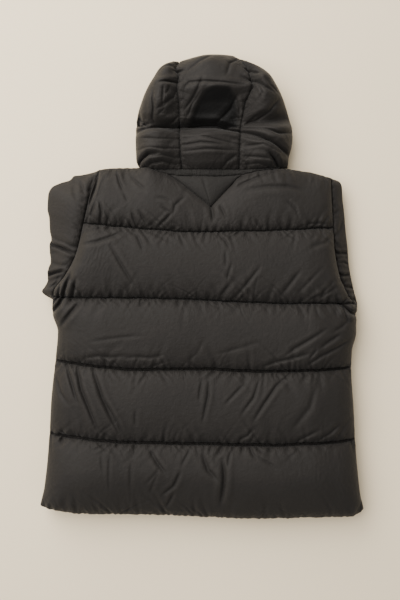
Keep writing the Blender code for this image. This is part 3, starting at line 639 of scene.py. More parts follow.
def cloth_marks(cloth, away, deep=0.0):
    """Where the cloth stands proud or is creased in, and how near it is to its sewing: the marks
    from which the nylon paints light and shade; deep is a hollow's painted shade.
    """
    broad = spread(cloth, 6)
    proud = ((cloth - broad) * outward(broad)).sum(axis=-1)
    return {"proud": np.clip(0.5 + proud * PROUD_GAIN - SHADE_LOSS * deep, 0.0, 1.0),
            "sewn": np.exp(-away / SEWN_REACH),
            "gathered": np.exp(-away / GATHERED_REACH), "shaded": deep}


def finish_piece(piece, slot, material=None):
    """Rides a piece on the body; with a material, it stands for its slot's solid."""
    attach(piece, "root")
    if material is not None:
        piece.data.materials.append(material)
        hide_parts(slot)


# ---- finishes ----------------------------------------------------------------------------

class Value:
    """A socket's number, with which shader sums are written as plain expressions."""

    def __init__(self, finish, socket):
        self.finish, self.socket = finish, socket

    def __add__(self, other):
        return self.finish.maths('ADD', self, other)

    def __radd__(self, other):
        return self.finish.maths('ADD', other, self)

    def __sub__(self, other):
        return self.finish.maths('SUBTRACT', self, other)

    def __mul__(self, other):
        return self.finish.maths('MULTIPLY', self, other)


def connect(tree, socket, value):
    """Links a socket, or a value's socket, to a node's input, or sets the input."""
    if isinstance(value, Value):
        value = value.socket
    if isinstance(value, bpy.types.NodeSocket):
        tree.links.new(value, socket)
    else:
        socket.default_value = value


def add_node(tree, kind, settings=(), **sockets):
    """A node of a type, with its settings, then the values or links of its sockets."""
    made = tree.nodes.new(kind)
    for name, value in dict(settings).items():
        setattr(made, name, value)
    for name, value in sockets.items():
        connect(tree, made.inputs[name.replace("_", " ")], value)
    return made


class Finish:
    """One material and the nodes that make it."""

    def __init__(self, name, roughness, sheen=0.0, metallic=0.0, specular=0.5):
        self.material = bpy.data.materials.new(name)
        self.material.use_nodes = True
        self.tree = self.material.node_tree
        self.surface = self.tree.nodes["Principled BSDF"]
        self.dress(Roughness=roughness, Metallic=metallic, Specular_IOR_Level=specular,
                   Sheen_Weight=sheen, Sheen_Roughness=0.45)

    def place(self):
        return self.node('ShaderNodeTexCoord').outputs["Object"]

    def cloth_place(self):
        return self.node('ShaderNodeUVMap', {"uv_map": "cloth"}).outputs["UV"]

    def node(self, kind, settings=(), **sockets):
        return add_node(self.tree, kind, settings, **sockets)

    def maths(self, operation, *values):
        made = self.node('ShaderNodeMath', {"operation": operation})
        for socket, value in zip(made.inputs, values):
            connect(self.tree, socket, value)
        return Value(self, made.outputs[0])

    def size_of(self, value):
        return self.maths('ABSOLUTE', value)

    def wave(self, value):
        return self.maths('SINE', value)

    def attribute(self, name):
        made = self.node('ShaderNodeAttribute', {"attribute_name": name})
        return Value(self, made.outputs["Fac"])

    def noise(self, place, scale, detail=3.0, roughness=0.5):
        made = self.node('ShaderNodeTexNoise', Vector=place, Scale=scale, Detail=detail,
                         Roughness=roughness)
        return Value(self, made.outputs["Fac"])

    def stretched(self, place, amounts):
        made = self.node('ShaderNodeVectorMath', {"operation": 'MULTIPLY'})
        connect(self.tree, made.inputs[0], place)
        connect(self.tree, made.inputs[1], amounts)
        return made.outputs[0]

    def mix(self, share, one, other):
        made = self.node('ShaderNodeMix', {"data_type": 'RGBA'})
        for number, value in ((0, share), (6, one), (7, other)):
            connect(self.tree, made.inputs[number], value)
        return made.outputs[2]

    def across_and_down(self, place):
        made = self.node('ShaderNodeSeparateXYZ', Vector=place)
        return Value(self, made.outputs["X"]), Value(self, made.outputs["Y"])

    def bump(self, height, distance, strength, **after):
        return self.node('ShaderNodeBump', Strength=strength, Distance=distance, Height=height,
                         **after).outputs["Normal"]

    def dress(self, **sockets):
        for name, value in sockets.items():
            connect(self.tree, self.surface.inputs[name.replace("_", " ")], value)
        return self.material


def toned(colour, amount=1.0):
    return tuple(amount * part for part in colour) + (1.0,)


def nylon(name, dark, light, roughness, weave_pitch=0.00042):
    """Thin plain-woven nylon: fine weave, small crumples and random tone, with painted light and
    shade: paler where it stands proud, darker where creased in, near its sewing and where
    shaded.
    """
    finish = Finish(name, roughness, sheen=0.05, specular=0.20)
    place, cloth = finish.place(), finish.cloth_place()
    broad, small = finish.noise(place, 9.0, 4.0), finish.noise(place, 60.0, 3.0)
    proud, sewn = finish.attribute("proud"), finish.attribute("sewn")
    # Random tone, plus painted light where the cloth stands proud and painted shade in creases
    # and near the sewing.
    share = (broad - 0.5) * 0.8 + (small - 0.5) * 0.4 + proud * 0.9 - sewn * 0.25
    share = finish.maths('MAXIMUM', finish.maths('MINIMUM', share, 1.0), 0.0)
    colour = finish.mix(share, toned(dark), toned(light))
    # Painted shade: towards near black where the cloth is marked shaded.
    colour = finish.mix(finish.attribute("shaded"), colour, toned(dark, 0.12))
    u, v = finish.across_and_down(cloth)
    turn = 2.0 * math.pi / weave_pitch
    weave = finish.wave(u * turn) * finish.wave(v * turn)
    crumple = finish.noise(place, 170.0, 4.0, 0.6)
    creased = finish.size_of(finish.noise(place, 75.0, 2.0) - 0.5) * 2.0
    drawn = finish.noise(finish.stretched(cloth, (1.0, 0.28, 1.0)), 230.0, 2.0)
    drawn = finish.size_of(drawn - 0.5) * 2.0
    normal = finish.bump(creased, 0.0009, 0.8)
    normal = finish.bump(drawn * finish.attribute("gathered"), 0.0022, 0.8, Normal=normal)
    normal = finish.bump(crumple, 0.0006, 0.7, Normal=normal)
    normal = finish.bump(weave, 0.00003, 0.6, Normal=normal)
    rough = roughness + (crumple - 0.5) * 0.16 + sewn * 0.05
    return finish.dress(Base_Color=colour, Roughness=rough, Normal=normal)


def plain_finish(name, colour, roughness, metallic=0.0, scale=900.0):
    """A plain material with a fine grain in its colour, gloss and surface."""
    finish = Finish(name, roughness, metallic=metallic, specular=0.3)
    grain = finish.noise(finish.place(), scale, 3.0)
    shade = finish.mix(grain, toned(colour, 0.75), toned(colour, 1.25))
    return finish.dress(Base_Color=shade, Roughness=roughness + (grain - 0.5) * 0.2,
                        Normal=finish.bump(grain, 0.0001, 0.6))


def woven_tape(name, colour):
    """Close herringbone tape in the piece's own cloth map."""
    finish = Finish(name, 0.8, specular=0.2)
    u, v = finish.across_and_down(finish.cloth_place())
    share = finish.wave((u + finish.size_of(finish.wave(v * 900.0)) * 0.0006) * 7000.0)
    share = share * 0.5 + 0.5
    shade = finish.mix(share, toned(colour, 0.7), toned(colour, 1.3))
    return finish.dress(Base_Color=shade, Roughness=0.78 + share * 0.1,
                        Normal=finish.bump(share, 0.0002, 0.7))


shell_nylon = nylon("matt_black_nylon", (0.0106, 0.0094, 0.0084), (0.0163, 0.0145, 0.0130), 0.70)
trim_nylon = nylon("dull_black_nylon", (0.0088, 0.0082, 0.0074), (0.0145, 0.0133, 0.0120), 0.74)
thread = plain_finish("black_thread", (0.012, 0.011, 0.010), 0.62, scale=2500.0)
moulded = plain_finish("moulded_black_teeth", (0.016, 0.016, 0.016), 0.42)
dark_metal = plain_finish("black_metal", (0.09, 0.09, 0.09), 0.42, metallic=0.9)
tape_weave = woven_tape("black_zip_tape", (0.016, 0.015, 0.014))


# ---- listed creases ----------------------------------------------------------------------

Crease = namedtuple("Crease", "depth width path")
Gather = namedtuple("Gather", "spacing lengths depth width lean", defaults=(0.5,))
SOFT_SHARE = 0.7           # of a crease's depth that the padding takes before it settles
CREASE_ENDS = (0.02, 0.98)     # a crease's very ends are as strong as these shares of it
CREASE_FADE = 0.6
CREASE_LIP = 0.4           # height of its lips, as a share of its depth
CREASE_LIP_OFF = 2.0       # how far off they stand, in widths
FOLD_POWER = 1.6
FOLD_LIP = 0.32
FOLD_LIP_OFF = 2.1
FOLD_LIP_WIDTH = 0.8
FAR_OFF = 9.0              # farther than any place in the jacket


def mm_creases(*rows):
    """Creases from rows of millimetres: depth, width, then x and y along the path."""
    return [Crease(row[0] / 1000.0, row[1] / 1000.0, mm_line(*row[2:])) for row in rows]


BACK_CREASES = mm_creases(
    (3.2, 4.2, -181, 79, -163, 47, -133, -2), (3, 4, 57, -27, 85, 8, 108, 38),
    (2.5, 4, 26, -25, 50, 5), (2.8, 5, 147, -21, 168, 6, 186, 30),
    (3.6, 4.4, 236, -84, 209, -101, 175, -121, 154, -136),
    (4.2, 4.4, 283, -107, 258, -121, 224, -137, 196, -157),
    (4, 4.6, 205, -129, 178, -137, 141, -146, 110, -157),
    (3, 3.4, 218, -123, 212, -131, 203, -141), (1.4, 5, 110, -107, 66, -120, 23, -132),
    (3.2, 4.4, 268, -92, 239, -110, 226, -119),
    (5.8, 4.8, -250, -142, -246, -172, -239, -203, -226, -233, -206, -283),
    (5.8, 5.2, -221, -146, -213, -175, -198, -218, -181, -256, -162, -292),
    (4.8, 4.2, -190, -228, -179, -247, -168, -267, -156, -292),
    (5, 4.2, -274, -142, -267, -168, -258, -192, -246, -226),
    (2.8, 3.4, 80, -192, 62, -208, 41, -229), (3.2, 3.6, 107, -189, 95, -219, 72, -248),
    (4, 4, 166, -174, 141, -195, 116, -229, 95, -262), (4, 3.8, 96, -276, 85, -290, 66, -301),
    (3.4, 4.2, 222, -280, 200, -293, 176, -305), (3.8, 4.6, 266, -270, 246, -288, 218, -304),
    (2.6, 8, 221, -185, 205, -236, 171, -279), (4.5, 5, -106, -321, -92, -343, -74, -365),
    (3.6, 4, -46, -362.5, -59, -389, -81, -407), (1.4, 3.6, -86, -354, -98, -369, -112, -385),
    (1.4, 3.6, -88, -362.5, -98, -383, -106, -405), (4.5, 6, -6, -325, 8, -359, 26, -377),
    (6.2, 6, 36, -340, 39, -365, 38, -390, 32, -427), (5, 5, 14, 159, 16, 145, 18, 129),
    (3.6, 3.4, -173, 226, -166, 203, -158, 187), (1.8, 3.6, -157, 181, -148, 166),
    (3, 3.6, -141, 146, -137, 132, -132, 118), (4.5, 3.6, -203, 166, -200, 146, -204, 122),
    (2.5, 4, -146, 219, -132, 203, -114, 187), (3, 4, -126, 147, -116, 129, -108, 117),
    (2.8, 3.6, -195, 151, -188, 136, -181, 119), (3.6, 3.4, -63, 143, -76, 130, -92, 117),
    (2, 3.4, -83, 156, -74, 149, -65, 144), (1.8, 3.6, -93, 174, -80, 172, -63, 167),
    (2.4, 4, -36, 176, -56, 159, -60, 140), (3.5, 4, -224, 123, -218, 149, -212, 167),
    (11, 3.8, -208.5, 233, -211, 215, -214.5, 196, -222, 170, -228, 150),
    (3.5, 4, 258, 0, 238, -14, 218, -27), (3, 4, 254, 12, 230, -14, 198, -29),
    (2.2, 3.5, -26, -318, -44, -350), (3.2, 3.8, -59, -402, -66, -418, -75, -434),
    (1.2, 3.5, -200, -330, -196, -362), (1.2, 3.5, -182, -322, -184, -352, -184, -396),
    (4, 4, 57, 190, 79, 203, 113, 216, 144, 226),
    (3, 6, 83, 188, 122, 194, 165, 194, 194, 188), (2.2, 4, 161, 166, 178, 151, 185, 132),
    (2.5, 4, 30, 161, 37, 147, 44, 132), (3, 3.4, 198, 116, 204, 123, 222, 125, 246, 124),
    (1.8, 3.6, 229, 36, 205, 11, 182, -14), (1.8, 3.6, 53, 43, 48, 28, 44, 12),
    (1.6, 3.4, 41, 67, 42, 38), (3.4, 3.4, 29, 99, 41, 88, 49, 74),
    (3.4, 4.2, -238, 81, -209, 85, -176, 97, -154, 109),
    (2.2, 4, -236, 107, -214, 109, -194, 117), (3, 5, -136, 109, -124, 85, -118, 69),
    (2.2, 4, -114, 109, -88, 97, -72, 87), (3.5, 5, -262, 21, -252, -3, -236, -19),
    (3, 5, 254, 103, 236, 85, 212, 77), (2.5, 5, 282, 49, 276, 21, 262, -7),
    (6.8, 4.8, -240, -28, -260, -51, -282, -78),
    (3, 5, -244, -149, -231, -139, -206, -135, -180, -138, -150, -133),
    (2.6, 4.6, -158, -139, -132, -136, -104, -138, -76, -132),
    (2, 3.2, -202, -137, -193, -146, -189, -156),
    (1.6, 3, -168, -139, -174, -147, -183, -155),
    (2, 3.2, -128, -139, -134, -149, -137, -160), (2.2, 3.4, -89, -136, -80, -147, -74, -160),
    (1.6, 4, -222, -108, -170, -100, -120, -95), (1.2, 5, -42, -153, -16, -131, 0, -103),
    (2.6, 4.4, 284, -66, 268, -80, 250, -90), (3, 5, -292, -177, -280, -211, -264, -231),
    (1.8, 4, -133, -242, -134, -256, -133, -272), (2.8, 3.8, 10, -182, 8, -213, -3, -264),
    (2.2, 3.4, -4, -186, -8, -206, -10, -222), (1.4, 4, -142, -345, -143, -396),
    (3.4, 3.8, 88, -314, 93, -326, 101, -337), (2.2, 4, 104, -334, 120, -343, 140, -354),
    (2.2, 3.6, 52, -322, 48, -338, 46, -352),
)
# These run across a quilting line.
UNDERARM_CREASES = mm_creases(
    (13, 5, -262, 22, -274, -6, -286, -36, -306, -58), (9, 4, -282, 6, -288, -18, -302, -40),
    (6, 4, -250, 14, -256, -14, -266, -34), (14, 5, 270, -32, 290, -52, 324, -60),
    (6, 4, 258, -20, 272, -40, 284, -68),
)
HOOD_CREASES = mm_creases(
    (12, 4.5, -142, 322, -130, 320, -116, 314),
    (16, 6.5, -160, 297, -132, 305, -98, 313.5, -48, 319.5, 0, 321, 24, 320.5, 47, 313, 72,
     306.5, 95, 299, 119, 289, 141, 277.5, 167, 261, 196, 246),
    (7.5, 5, 72, 315, 98, 310.5, 123, 306, 145, 299, 174, 305),
    (12, 4.5, -134, 237, -124, 250, -108, 260, -88, 261),
    (6, 4, -124, 233, -104, 243, -80, 247, -56, 241), (13, 4.5, 128, 260, 140, 251, 149, 238),
    (6, 5, 132, 253, 146, 237, 150, 225), (5.5, 4, -90, 394, -73, 397, -50, 398.5),
    (4.2, 4, -39, 380, -36, 390, -28, 398.5, 0, 399, 35, 396.5, 78, 393.5),
    (5.5, 4.2, 77, 428, 92, 420, 108, 412),
    (6.5, 4.5, 75, 409, 92, 402, 105, 397, 118, 385, 135, 376),
    (5, 5, -64, 421, -50, 421, -36, 425),
    (4, 3.8, -98, 380, -99.5, 363, -98, 346, -101, 330, -96, 319),
    (3.5, 3.6, -79, 386, -80, 371, -81, 352),
    (3.5, 3.6, -55, 382, -59, 370, -71, 360.5, -81, 352.5, -92, 343),
    (2.2, 3, -86, 345, -76, 352, -68, 364), (2, 3, -90, 334, -82, 341, -76, 347),
    (2.2, 3, -66, 389, -70, 379, -75, 372), (4, 3.8, -49, 337, -62, 326, -82, 317),
    (9, 3.5, -128.5, 338, -128, 317), (9, 3.5, -121, 322.5, -113, 318),
    (4, 4, -114, 397, -122, 371, -128, 347, -122, 323),
    (6, 5, -130, 337, -122, 327, -108, 319), (3, 4, -108, 413, -88, 435, -66, 445),
    (2.5, 4, -92, 417, -80, 429, -56, 433), (3, 5, -34, 421, -8, 441, 22, 457),
    (3, 4, 44, 413, 50, 437, 72, 451), (3, 4, -36.5, 326.5, -22.5, 360, -7, 380),
    (4, 3.8, -38.5, 347, -22, 369.5, -11.5, 386, -3.5, 407),
    (3.5, 5, 24, 325, 40, 339, 54, 353, 66, 377), (3, 4, 60, 377, 70, 353, 70, 325),
    (5, 5, 146, 365, 128, 343, 104, 329, 84, 321), (3, 4, 116, 405, 128, 389, 146, 375),
    (3, 4, 83, 322, 100, 334, 119, 342), (3, 4, 104, 393, 112, 373, 104, 357),
    (3, 3, -132, 269, -108, 271, -78, 269, -48, 271), (2.2, 3, -128, 291, -92, 287, -52, 289),
    (2.5, 3, -108, 253, -82, 257, -52, 253), (2.5, 3, -44, 277, -8, 281, 36, 277),
    (2.2, 3, -18, 295, 22, 287, 68, 279), (2.8, 3, -42, 265, 2, 268, 66, 267),
    (3, 4, 30, 229, 46, 247, 66, 261), (2.5, 3, -40, 303, -8, 299, 32, 305),
    (3, 3, 76, 293, 108, 285, 140, 287), (3, 3, 76, 275, 116, 277, 148, 261),
    (2.8, 3, 76, 257, 112, 253, 140, 249), (2.5, 3, 78, 241, 108, 243, 136, 235),
)
LEFT_SLEEVE_CREASES = mm_creases(
    (8.5, 3.4, -314, 94, -302, 83, -284, 77, -258, 65),
    (9, 3.2, -320, 21, -300, 27, -280, 31), (1.8, 4, -304, 49, -284, 41, -264, 45),
    (3, 4, -220, 221, -228, 189, -226, 161), (4, 4, -210, 219, -222, 177, -232, 141),
    (1.2, 4, -262, 201, -258, 185, -252, 169), (1.4, 3.6, -246, 213, -242, 197, -236, 179),
    (3, 4, -296, -11, -284, 5, -268, 21), (3, 4, -308, -3, -296, 5, -288, 19),
)
RIGHT_SLEEVE_CREASES = mm_creases(
    (4, 3, 256, 67, 272, 67, 290, 67), (4.5, 3, 276, 1, 290, -1, 304, -3),
    (1.8, 5, 278, 132, 270, 112, 261, 94), (1.2, 4, 260, 168, 264, 150, 262, 132),
    (4, 3, 266, 24, 280, 22, 297, 25), (2.4, 2.6, 266, 47, 278, 49, 290, 44),
    (4.5, 4, 288, -31, 298, -27, 308, -31),
)


def crease_drop(x, y, creases, narrow=1.0):
    """How far the listed creases push the padding down; their lips rise a little."""
    drop = np.zeros_like(x)
    for crease in creases:
        path = crease.path
        runs = [math.hypot(b.x - a.x, b.y - a.y) for a, b in zip(path, path[1:])]
        total, gone = sum(runs), 0.0
        nearest, place = np.full_like(x, FAR_OFF), np.zeros_like(x)
        for start, end, run in zip(path, path[1:], runs):
            distance, share = off_segment(x, y, start, end)
            closer = distance < nearest
            nearest = np.where(closer, distance, nearest)
            place = np.where(closer, (gone + share * run) / total, place)
            gone += run
        strength = hump(np.clip(place, *CREASE_ENDS), CREASE_FADE)
        away = nearest / (crease.width * narrow)
        lip = CREASE_LIP * np.exp(-(away - CREASE_LIP_OFF) ** 2)
        drop += crease.depth * strength * (np.exp(-away ** 2) - lip)
    return drop


def crisp_drop(x, y, creases, share=0.40, narrow=0.5):
    """The narrow part of the creases, cut in once the cloth has settled."""
    return share * crease_drop(x, y, creases, narrow)


def valley(away):
    """The section of a fold: a soft valley between two low lips."""
    away = np.abs(away)
    return np.exp(-away ** FOLD_POWER) - FOLD_LIP * near(away - FOLD_LIP_OFF, FOLD_LIP_WIDTH)


def gathers(place, off, seed, gather):
    """Folds that run off a sewn line and fade: many short ones and a few long.

    place: where along the line; off: distance from it on the side that gathers.
    """
    rng = np.random.default_rng(seed)
    low, high = float(place.min()), float(place.max())
    drop, root = np.zeros_like(place), low
    beside = (off > -0.002) & (off < gather.lengths[1])
    while root < high:
        root += gather.spacing * rng.uniform(0.35, 1.9)
        size = rng.uniform() ** 2.0
        length = blend(*gather.lengths, size)
        deep = gather.depth * rng.uniform(0.45, 1.0) * blend(1.0, 1.5, size)
        wide = gather.width * rng.uniform(0.6, 1.3) * blend(1.0, 1.5, size)
        slant, bend = gather.lean * rng.normal(), rng.normal() * 0.5 / length
        reach = length * (abs(slant) + 0.8) + 4.0 * wide
        at = np.nonzero(beside & (np.abs(place - root) < reach) & (off < length))
        run = off[at]
        centre = root + slant * run + bend * run * run
        fade = np.clip(1.0 - run / length, 0.0, 1.0) ** 1.2 * smooth_step(run / 0.0015 + 0.4)
        drop[at] += deep * fade * valley((place[at] - centre) / (wide * (1.0 + run / length)))
    return drop


def line_gathers(x, y, lines, seeds, above, below):
    """Folds above and below sewn lines of the body, on the sides where the body is."""
    drop = np.zeros_like(x)
    for number, line in enumerate(lines):
        off = y - y_at(line, x)
        if line is not NECKLINE:
            drop += gathers(x, off, seeds[0] + number, above)
        if line is not HEM:
            drop += gathers(x, -off, seeds[1] + number, below)
    return drop


# ---- the quilted back --------------------------------------------------------------------

CHAMBER_ROWS = 72          # rows of the grid in each chamber
BACK_COLUMNS = 360
ROW_LEAN = 0.55            # how much closer the rows lie near the sewn lines
SEW_NEAR = 0.020           # how far from a sewn line its puckers reach
LEAST_BACK = 0.0025        # the least padding of the back
EDGE_SWELL = 0.010         # the least plumpness of a sewn line away from the side edges
EDGE_SWELL_REACH = 0.03
NOTCH_DEPTH = 0.006        # of the back's seam along the V
NOTCH_REACH = 0.006
WAVER_REACH = 0.010        # how far from a sewn line the cloth wanders with it
PUCKER_ABOVE = Gather(0.0080, (0.008, 0.022), 0.0052, 0.0022, 0.6)
PUCKER_BELOW = Gather(0.0080, (0.010, 0.030), 0.0056, 0.0022)


def body_rows(count):
    """Rows down the body: the chamber's number, with the share of the way through it."""
    even = np.linspace(0.0, 1.0, count + 1)
    shares = blend(even, 0.5 - 0.5 * np.cos(np.pi * even), ROW_LEAN)[:-1]
    return np.concatenate([chamber + shares for chamber in range(CHAMBERS)]
                          + [[float(CHAMBERS)]])


def off_sewn(x, y):
    """Distance from the nearest sewn line of the body, measured down the body."""
    return np.min([np.abs(y - y_at(line, x)) for line in SEWN_LINES], axis=0)


def back_gathers(x, y, seed, depth, width):
    return line_gathers(x, y, SEWN_LINES, (seed, seed + 50),
                        Gather(0.0085, (0.008, 0.080), depth, width),
                        Gather(0.0095, (0.006, 0.070), 0.85 * depth, 0.95 * width))


def make_back():
    rows = body_rows(CHAMBER_ROWS)
    x, y = body_plan(body_left, body_right, rows, np.linspace(0.0, 1.0, BACK_COLUMNS + 1))
    low = mid_height(x, y) + GAP
    thick = back_thickness(x, y, rows)
    between = hump(rows - chamber_of(rows), 0.5)[:, None]
    thick *= blend(1.0, 0.97 * np.maximum(between, 0.05) ** -0.2, smooth_step(between * 4.0))
    thick *= 1.0 + 0.06 * between * ripple(11, x, y, 0.10)
    inner = smooth_step(np.minimum(rows, CHAMBERS - rows) * 8.0)[:, None]
    swell = EDGE_SWELL * rounding(x - body_left(y), EDGE_SWELL_REACH)
    swell = swell * rounding(body_right(y) - x, EDGE_SWELL_REACH)
    thick = np.sqrt(thick ** 2 + inner * swell ** 2)
    drop = SOFT_SHARE * crease_drop(x, y, BACK_CREASES) * between ** 0.5
    drop += SOFT_SHARE * crease_drop(x, y, UNDERARM_CREASES)
    drop += back_gathers(x, y, 100, 0.0022, 0.0027)
    away = off_sewn(x, y)
    waver = 0.0011 * ripple(15, x, y, 0.014) + 0.0012 * ripple(16, x, y, 0.05)
    y = y + near(away, WAVER_REACH) * waver      # the puckers push the sewn lines to and fro
    sewn = inside_gusset(x, y)
    lofty = low + thick - drop - NOTCH_DEPTH * near(to_gusset(x, y), NOTCH_REACH)
    inset = np.minimum(lofty, low + GUSSET_THICKNESS * 0.75)
    high = blend(lofty, inset, smooth_step(sewn / 0.010 + 0.5) * (sewn > -0.006))
    patchy = 0.5 + 0.5 * ripple(14, x, y, 0.05)
    free = free_cloth(x.shape, rows=np.s_[::CHAMBER_ROWS])
    cloth = settle(surface(x, y, high), free,
                   0.012 + 0.048 * near(away, SEW_NEAR) * (0.5 + patchy), 0.010 + 0.014 * patchy,
                   0.07 * ripple(13, x, y, 0.07), seed=21)
    crisp = crisp_drop(x, y, BACK_CREASES) * between ** 0.5
    crisp += crisp_drop(x, y, UNDERARM_CREASES)
    cloth[..., 2] -= crisp + back_gathers(x, y, 160, 0.0008, 0.0014) * free
    puckers = line_gathers(x, y, QUILTING, (260, 280), PUCKER_ABOVE, PUCKER_BELOW)
    cloth[..., 2] -= puckers * (0.6 + 0.4 * ripple(18, x, y, 0.04)) * free
    cloth[..., 2] = np.maximum(cloth[..., 2], low + LEAST_BACK)
    piece = padded_piece("quilted_back", cloth, surface(x, y, low), cloth_marks(cloth, away))
    finish_piece(piece, "back", shell_nylon)
    return cloth


# ---- gusset and neck band ----------------------------------------------------------------

BAND_ABOVE = Gather(0.013, (0.006, 0.016), 0.0012, 0.0024, 0.8)
BAND_BELOW = Gather(0.015, (0.005, 0.014), 0.0012, 0.0024, 0.8)


def make_gusset():
    """The flat V inset at the neck, its edges turned under the back's."""
    down = np.linspace(0.0, 0.97, 49)[:, None]
    across = np.linspace(0.0, 1.0, 65)[None, :]
    x = blend(blend(GUSSET_LEFT.x, GUSSET_TIP.x, down),
              blend(GUSSET_RIGHT.x, GUSSET_TIP.x, down), across)
    y = blend(neck_y(blend(GUSSET_LEFT.x, GUSSET_RIGHT.x, across)) - GAP, GUSSET_TIP.y, down)
    low = mid_height(x, y) + GAP
    high = low + GUSSET_THICKNESS + GUSSET_PUFF * hump(across) * hump(down)
    high -= 0.0012 * near(across - 0.45, 0.03) * hump(down)
    spare = 0.03 + 0.05 * near(1.0 - down, 0.4)
    cloth = settle(surface(x, y, high), free_cloth(x.shape), spare, 0.02,
                   0.04 * ripple(31, x, y, 0.04), seed=32, reach=0.004)
    away = np.minimum(across, 1.0 - across) * 0.13 * (1.0 - down)
    piece = padded_piece("neck_inset", cloth, surface(x, y, low), cloth_marks(cloth, away), 8, 8)
    finish_piece(piece, "neck_gusset", trim_nylon)


def make_neck_band():
    """The narrow strip between the back and the hood."""
    across = np.linspace(BAND_LEFT_X, BAND_RIGHT_X, 129)[None, :]
    share = np.linspace(0.0, 1.0, 17)[:, None]
    upper, lower = y_at(BAND_TOP, across) - GAP, neck_y(across) + 2.0 * GAP
    x, y = np.broadcast_arrays(across, blend(upper, lower, share))
    high = BAND_HEIGHT + BAND_PUFF * hump(share) + 0.0008 * ripple(41, x, 3.0 * y, 0.012)
    high = high - gathers(x, y - lower, 43, BAND_ABOVE) - gathers(x, upper - y, 44, BAND_BELOW)
    cloth = surface(x, y, high)
    marks = cloth_marks(cloth, np.minimum(share, 1.0 - share) * 0.014)
    piece = padded_piece("neck_binding", cloth, surface(x, y, COLLAR_HEIGHT + GAP), marks, 8, 16)
    finish_piece(piece, "neck_band", trim_nylon)


# ---- hood --------------------------------------------------------------------------------

HOOD_UP = 200
HOOD_SIDE_COLUMNS = 72
HOOD_CENTRE_COLUMNS = 84
HOOD_SEAMS = (HOOD_SIDE_COLUMNS, HOOD_SIDE_COLUMNS + HOOD_CENTRE_COLUMNS)
SINK_UP = [0.0, 0.29, 0.335, 0.365, 0.46, 0.55, 0.64, 0.695, 0.77, 1.0]
SINK = [0.0, 0.0, 0.006, 0.012, 0.010, 0.005, 0.002, -0.005, -0.001, 0.0]
DENT_LEFT = mm_line(
    -42, 300,  -36.5, 326.5,  -22.5, 360,  -7, 380,  8, 395,  16, 460
)
DENT_RIGHT = mm_line(
    74, 300,  74, 333,  68, 367,  56, 395,  50, 460
)


DENT_TOP_Y = 0.4005
DENT_BOTTOM_Y = 0.313
DENT_MIDDLE_X = 0.024
DENT_ARCH = 0.010          # how far its upper edge falls at a half width from the middle
DENT_HALF_WIDTH = 0.036
LEAST_HOOD = 0.003         # the least padding of the hood
SHADE_TOP_Y = 0.3975


def hood_height(heights, up):
    return through(HOOD_HEIGHTS[0], heights, up)[:, None]


def hood_panel(edge, seam, lobe_heights, seam_heights, up, across):
    """x, y, height and distance from the edge of a side panel, from its edge to its seam."""
    out_x, out_y = along(edge, up)
    seam_x, seam_y = along(seam, up)
    x, y = blend(out_x, seam_x, across), blend(out_y, seam_y, across)
    base = 1.0 - smooth_step(up / HOOD_BASE_ROWS)[:, None]
    y = y + (y_at(BAND_TOP, x[0]) + GAP - y[0])[None, :] * base
    lobe, sewn = hood_height(lobe_heights, up), hood_height(seam_heights, up)
    rising = blend(HOOD_EDGE_HEIGHT, lobe, rounding(across, 0.5))
    falling = blend(lobe, sewn, smooth_step(2.0 * across - 1.0))
    return (x, y, np.where(across < 0.5, rising, falling),
            across * np.hypot(out_x - seam_x, out_y - seam_y))


def hood_form():
    """The hood as one grid: left side, centre strip and right side, rows from the crown down."""
    up = np.linspace(0.0, 1.0, HOOD_UP + 1)
    sides = np.linspace(0.0, 1.0, HOOD_SIDE_COLUMNS + 1)[None, :]
    left = hood_panel(HOOD_LEFT, HOOD_SEAM_LEFT, LEFT_LOBE, LEFT_SEAM, up, sides)
    right = hood_panel(HOOD_RIGHT, HOOD_SEAM_RIGHT, RIGHT_LOBE, RIGHT_SEAM, up, sides)
    right = mirrored(right, True)
    across = np.linspace(0.0, 1.0, HOOD_CENTRE_COLUMNS + 1)[None, :]
    left_x, left_y = along(HOOD_SEAM_LEFT, up)
    right_x, right_y = along(HOOD_SEAM_RIGHT, up)
    x = blend(left_x, right_x, across)
    y = blend(left_y, right_y, across)
    y = y + CROWN_BULGE * up[:, None] ** CROWN_POWER * hump(across, 1.0)
    low_side, middle, high_side = (hood_height(heights, up)
                                   for heights in (LEFT_SEAM, CENTRE, RIGHT_SEAM))
    z = np.where(across < 0.5, blend(low_side, middle, smooth_step(2.0 * across)),
                 blend(middle, high_side, smooth_step(2.0 * across - 1.0)))
    centre = (x, y, z, np.full_like(x, 1.0))
    joined = [np.hstack([left[k][:, :-1], centre[k], right[k][:, 1:]])[::-1] for k in range(4)]
    return joined, up[::-1]


def hood_underside(x, y, to_outline, up):
    """Level on the surface, with room for the collar and the opening for the face."""
    rise = HOOD_EDGE_HEIGHT - RIM
    height = rise * (1.0 - rounding(to_outline, HOOD_UNDER_ROUND))
    to_crown = (1.0 - up)[:, None] * 0.22
    height = np.maximum(height, rise * (1.0 - rounding(to_crown, HOOD_UNDER_ROUND)))
    over_collar = (x > COLLAR_LEFT_X) & (x < COLLAR_RIGHT_X) & (y < COLLAR_TOP_Y)
    height = np.where(over_collar, np.maximum(height, COLLAR_HEIGHT + GAP), height)
    off_x = (x - FACE_CENTRE.x) / FACE_HALF_WIDTH
    off_y = (y - FACE_CENTRE.y) / FACE_HALF_LENGTH
    hollow = FACE_DEPTH * np.sqrt(np.clip(1.0 - off_x ** 2 - off_y ** 2, 0.0, 1.0))
    return np.maximum(height, hollow)


def in_dent(x, y):
    """1 in the hollow between the crown's ridge and the neck's roll, 0 outside it."""
    across = smooth_step((x - x_at(DENT_LEFT, y)) / 0.018)
    across = across * smooth_step((x_at(DENT_RIGHT, y) - x) / 0.014)
    top = DENT_TOP_Y - DENT_ARCH * ((x - DENT_MIDDLE_X) / DENT_HALF_WIDTH) ** 2
    return across * smooth_step((top - y) / 0.014) * smooth_step((y - DENT_BOTTOM_Y) / 0.006)


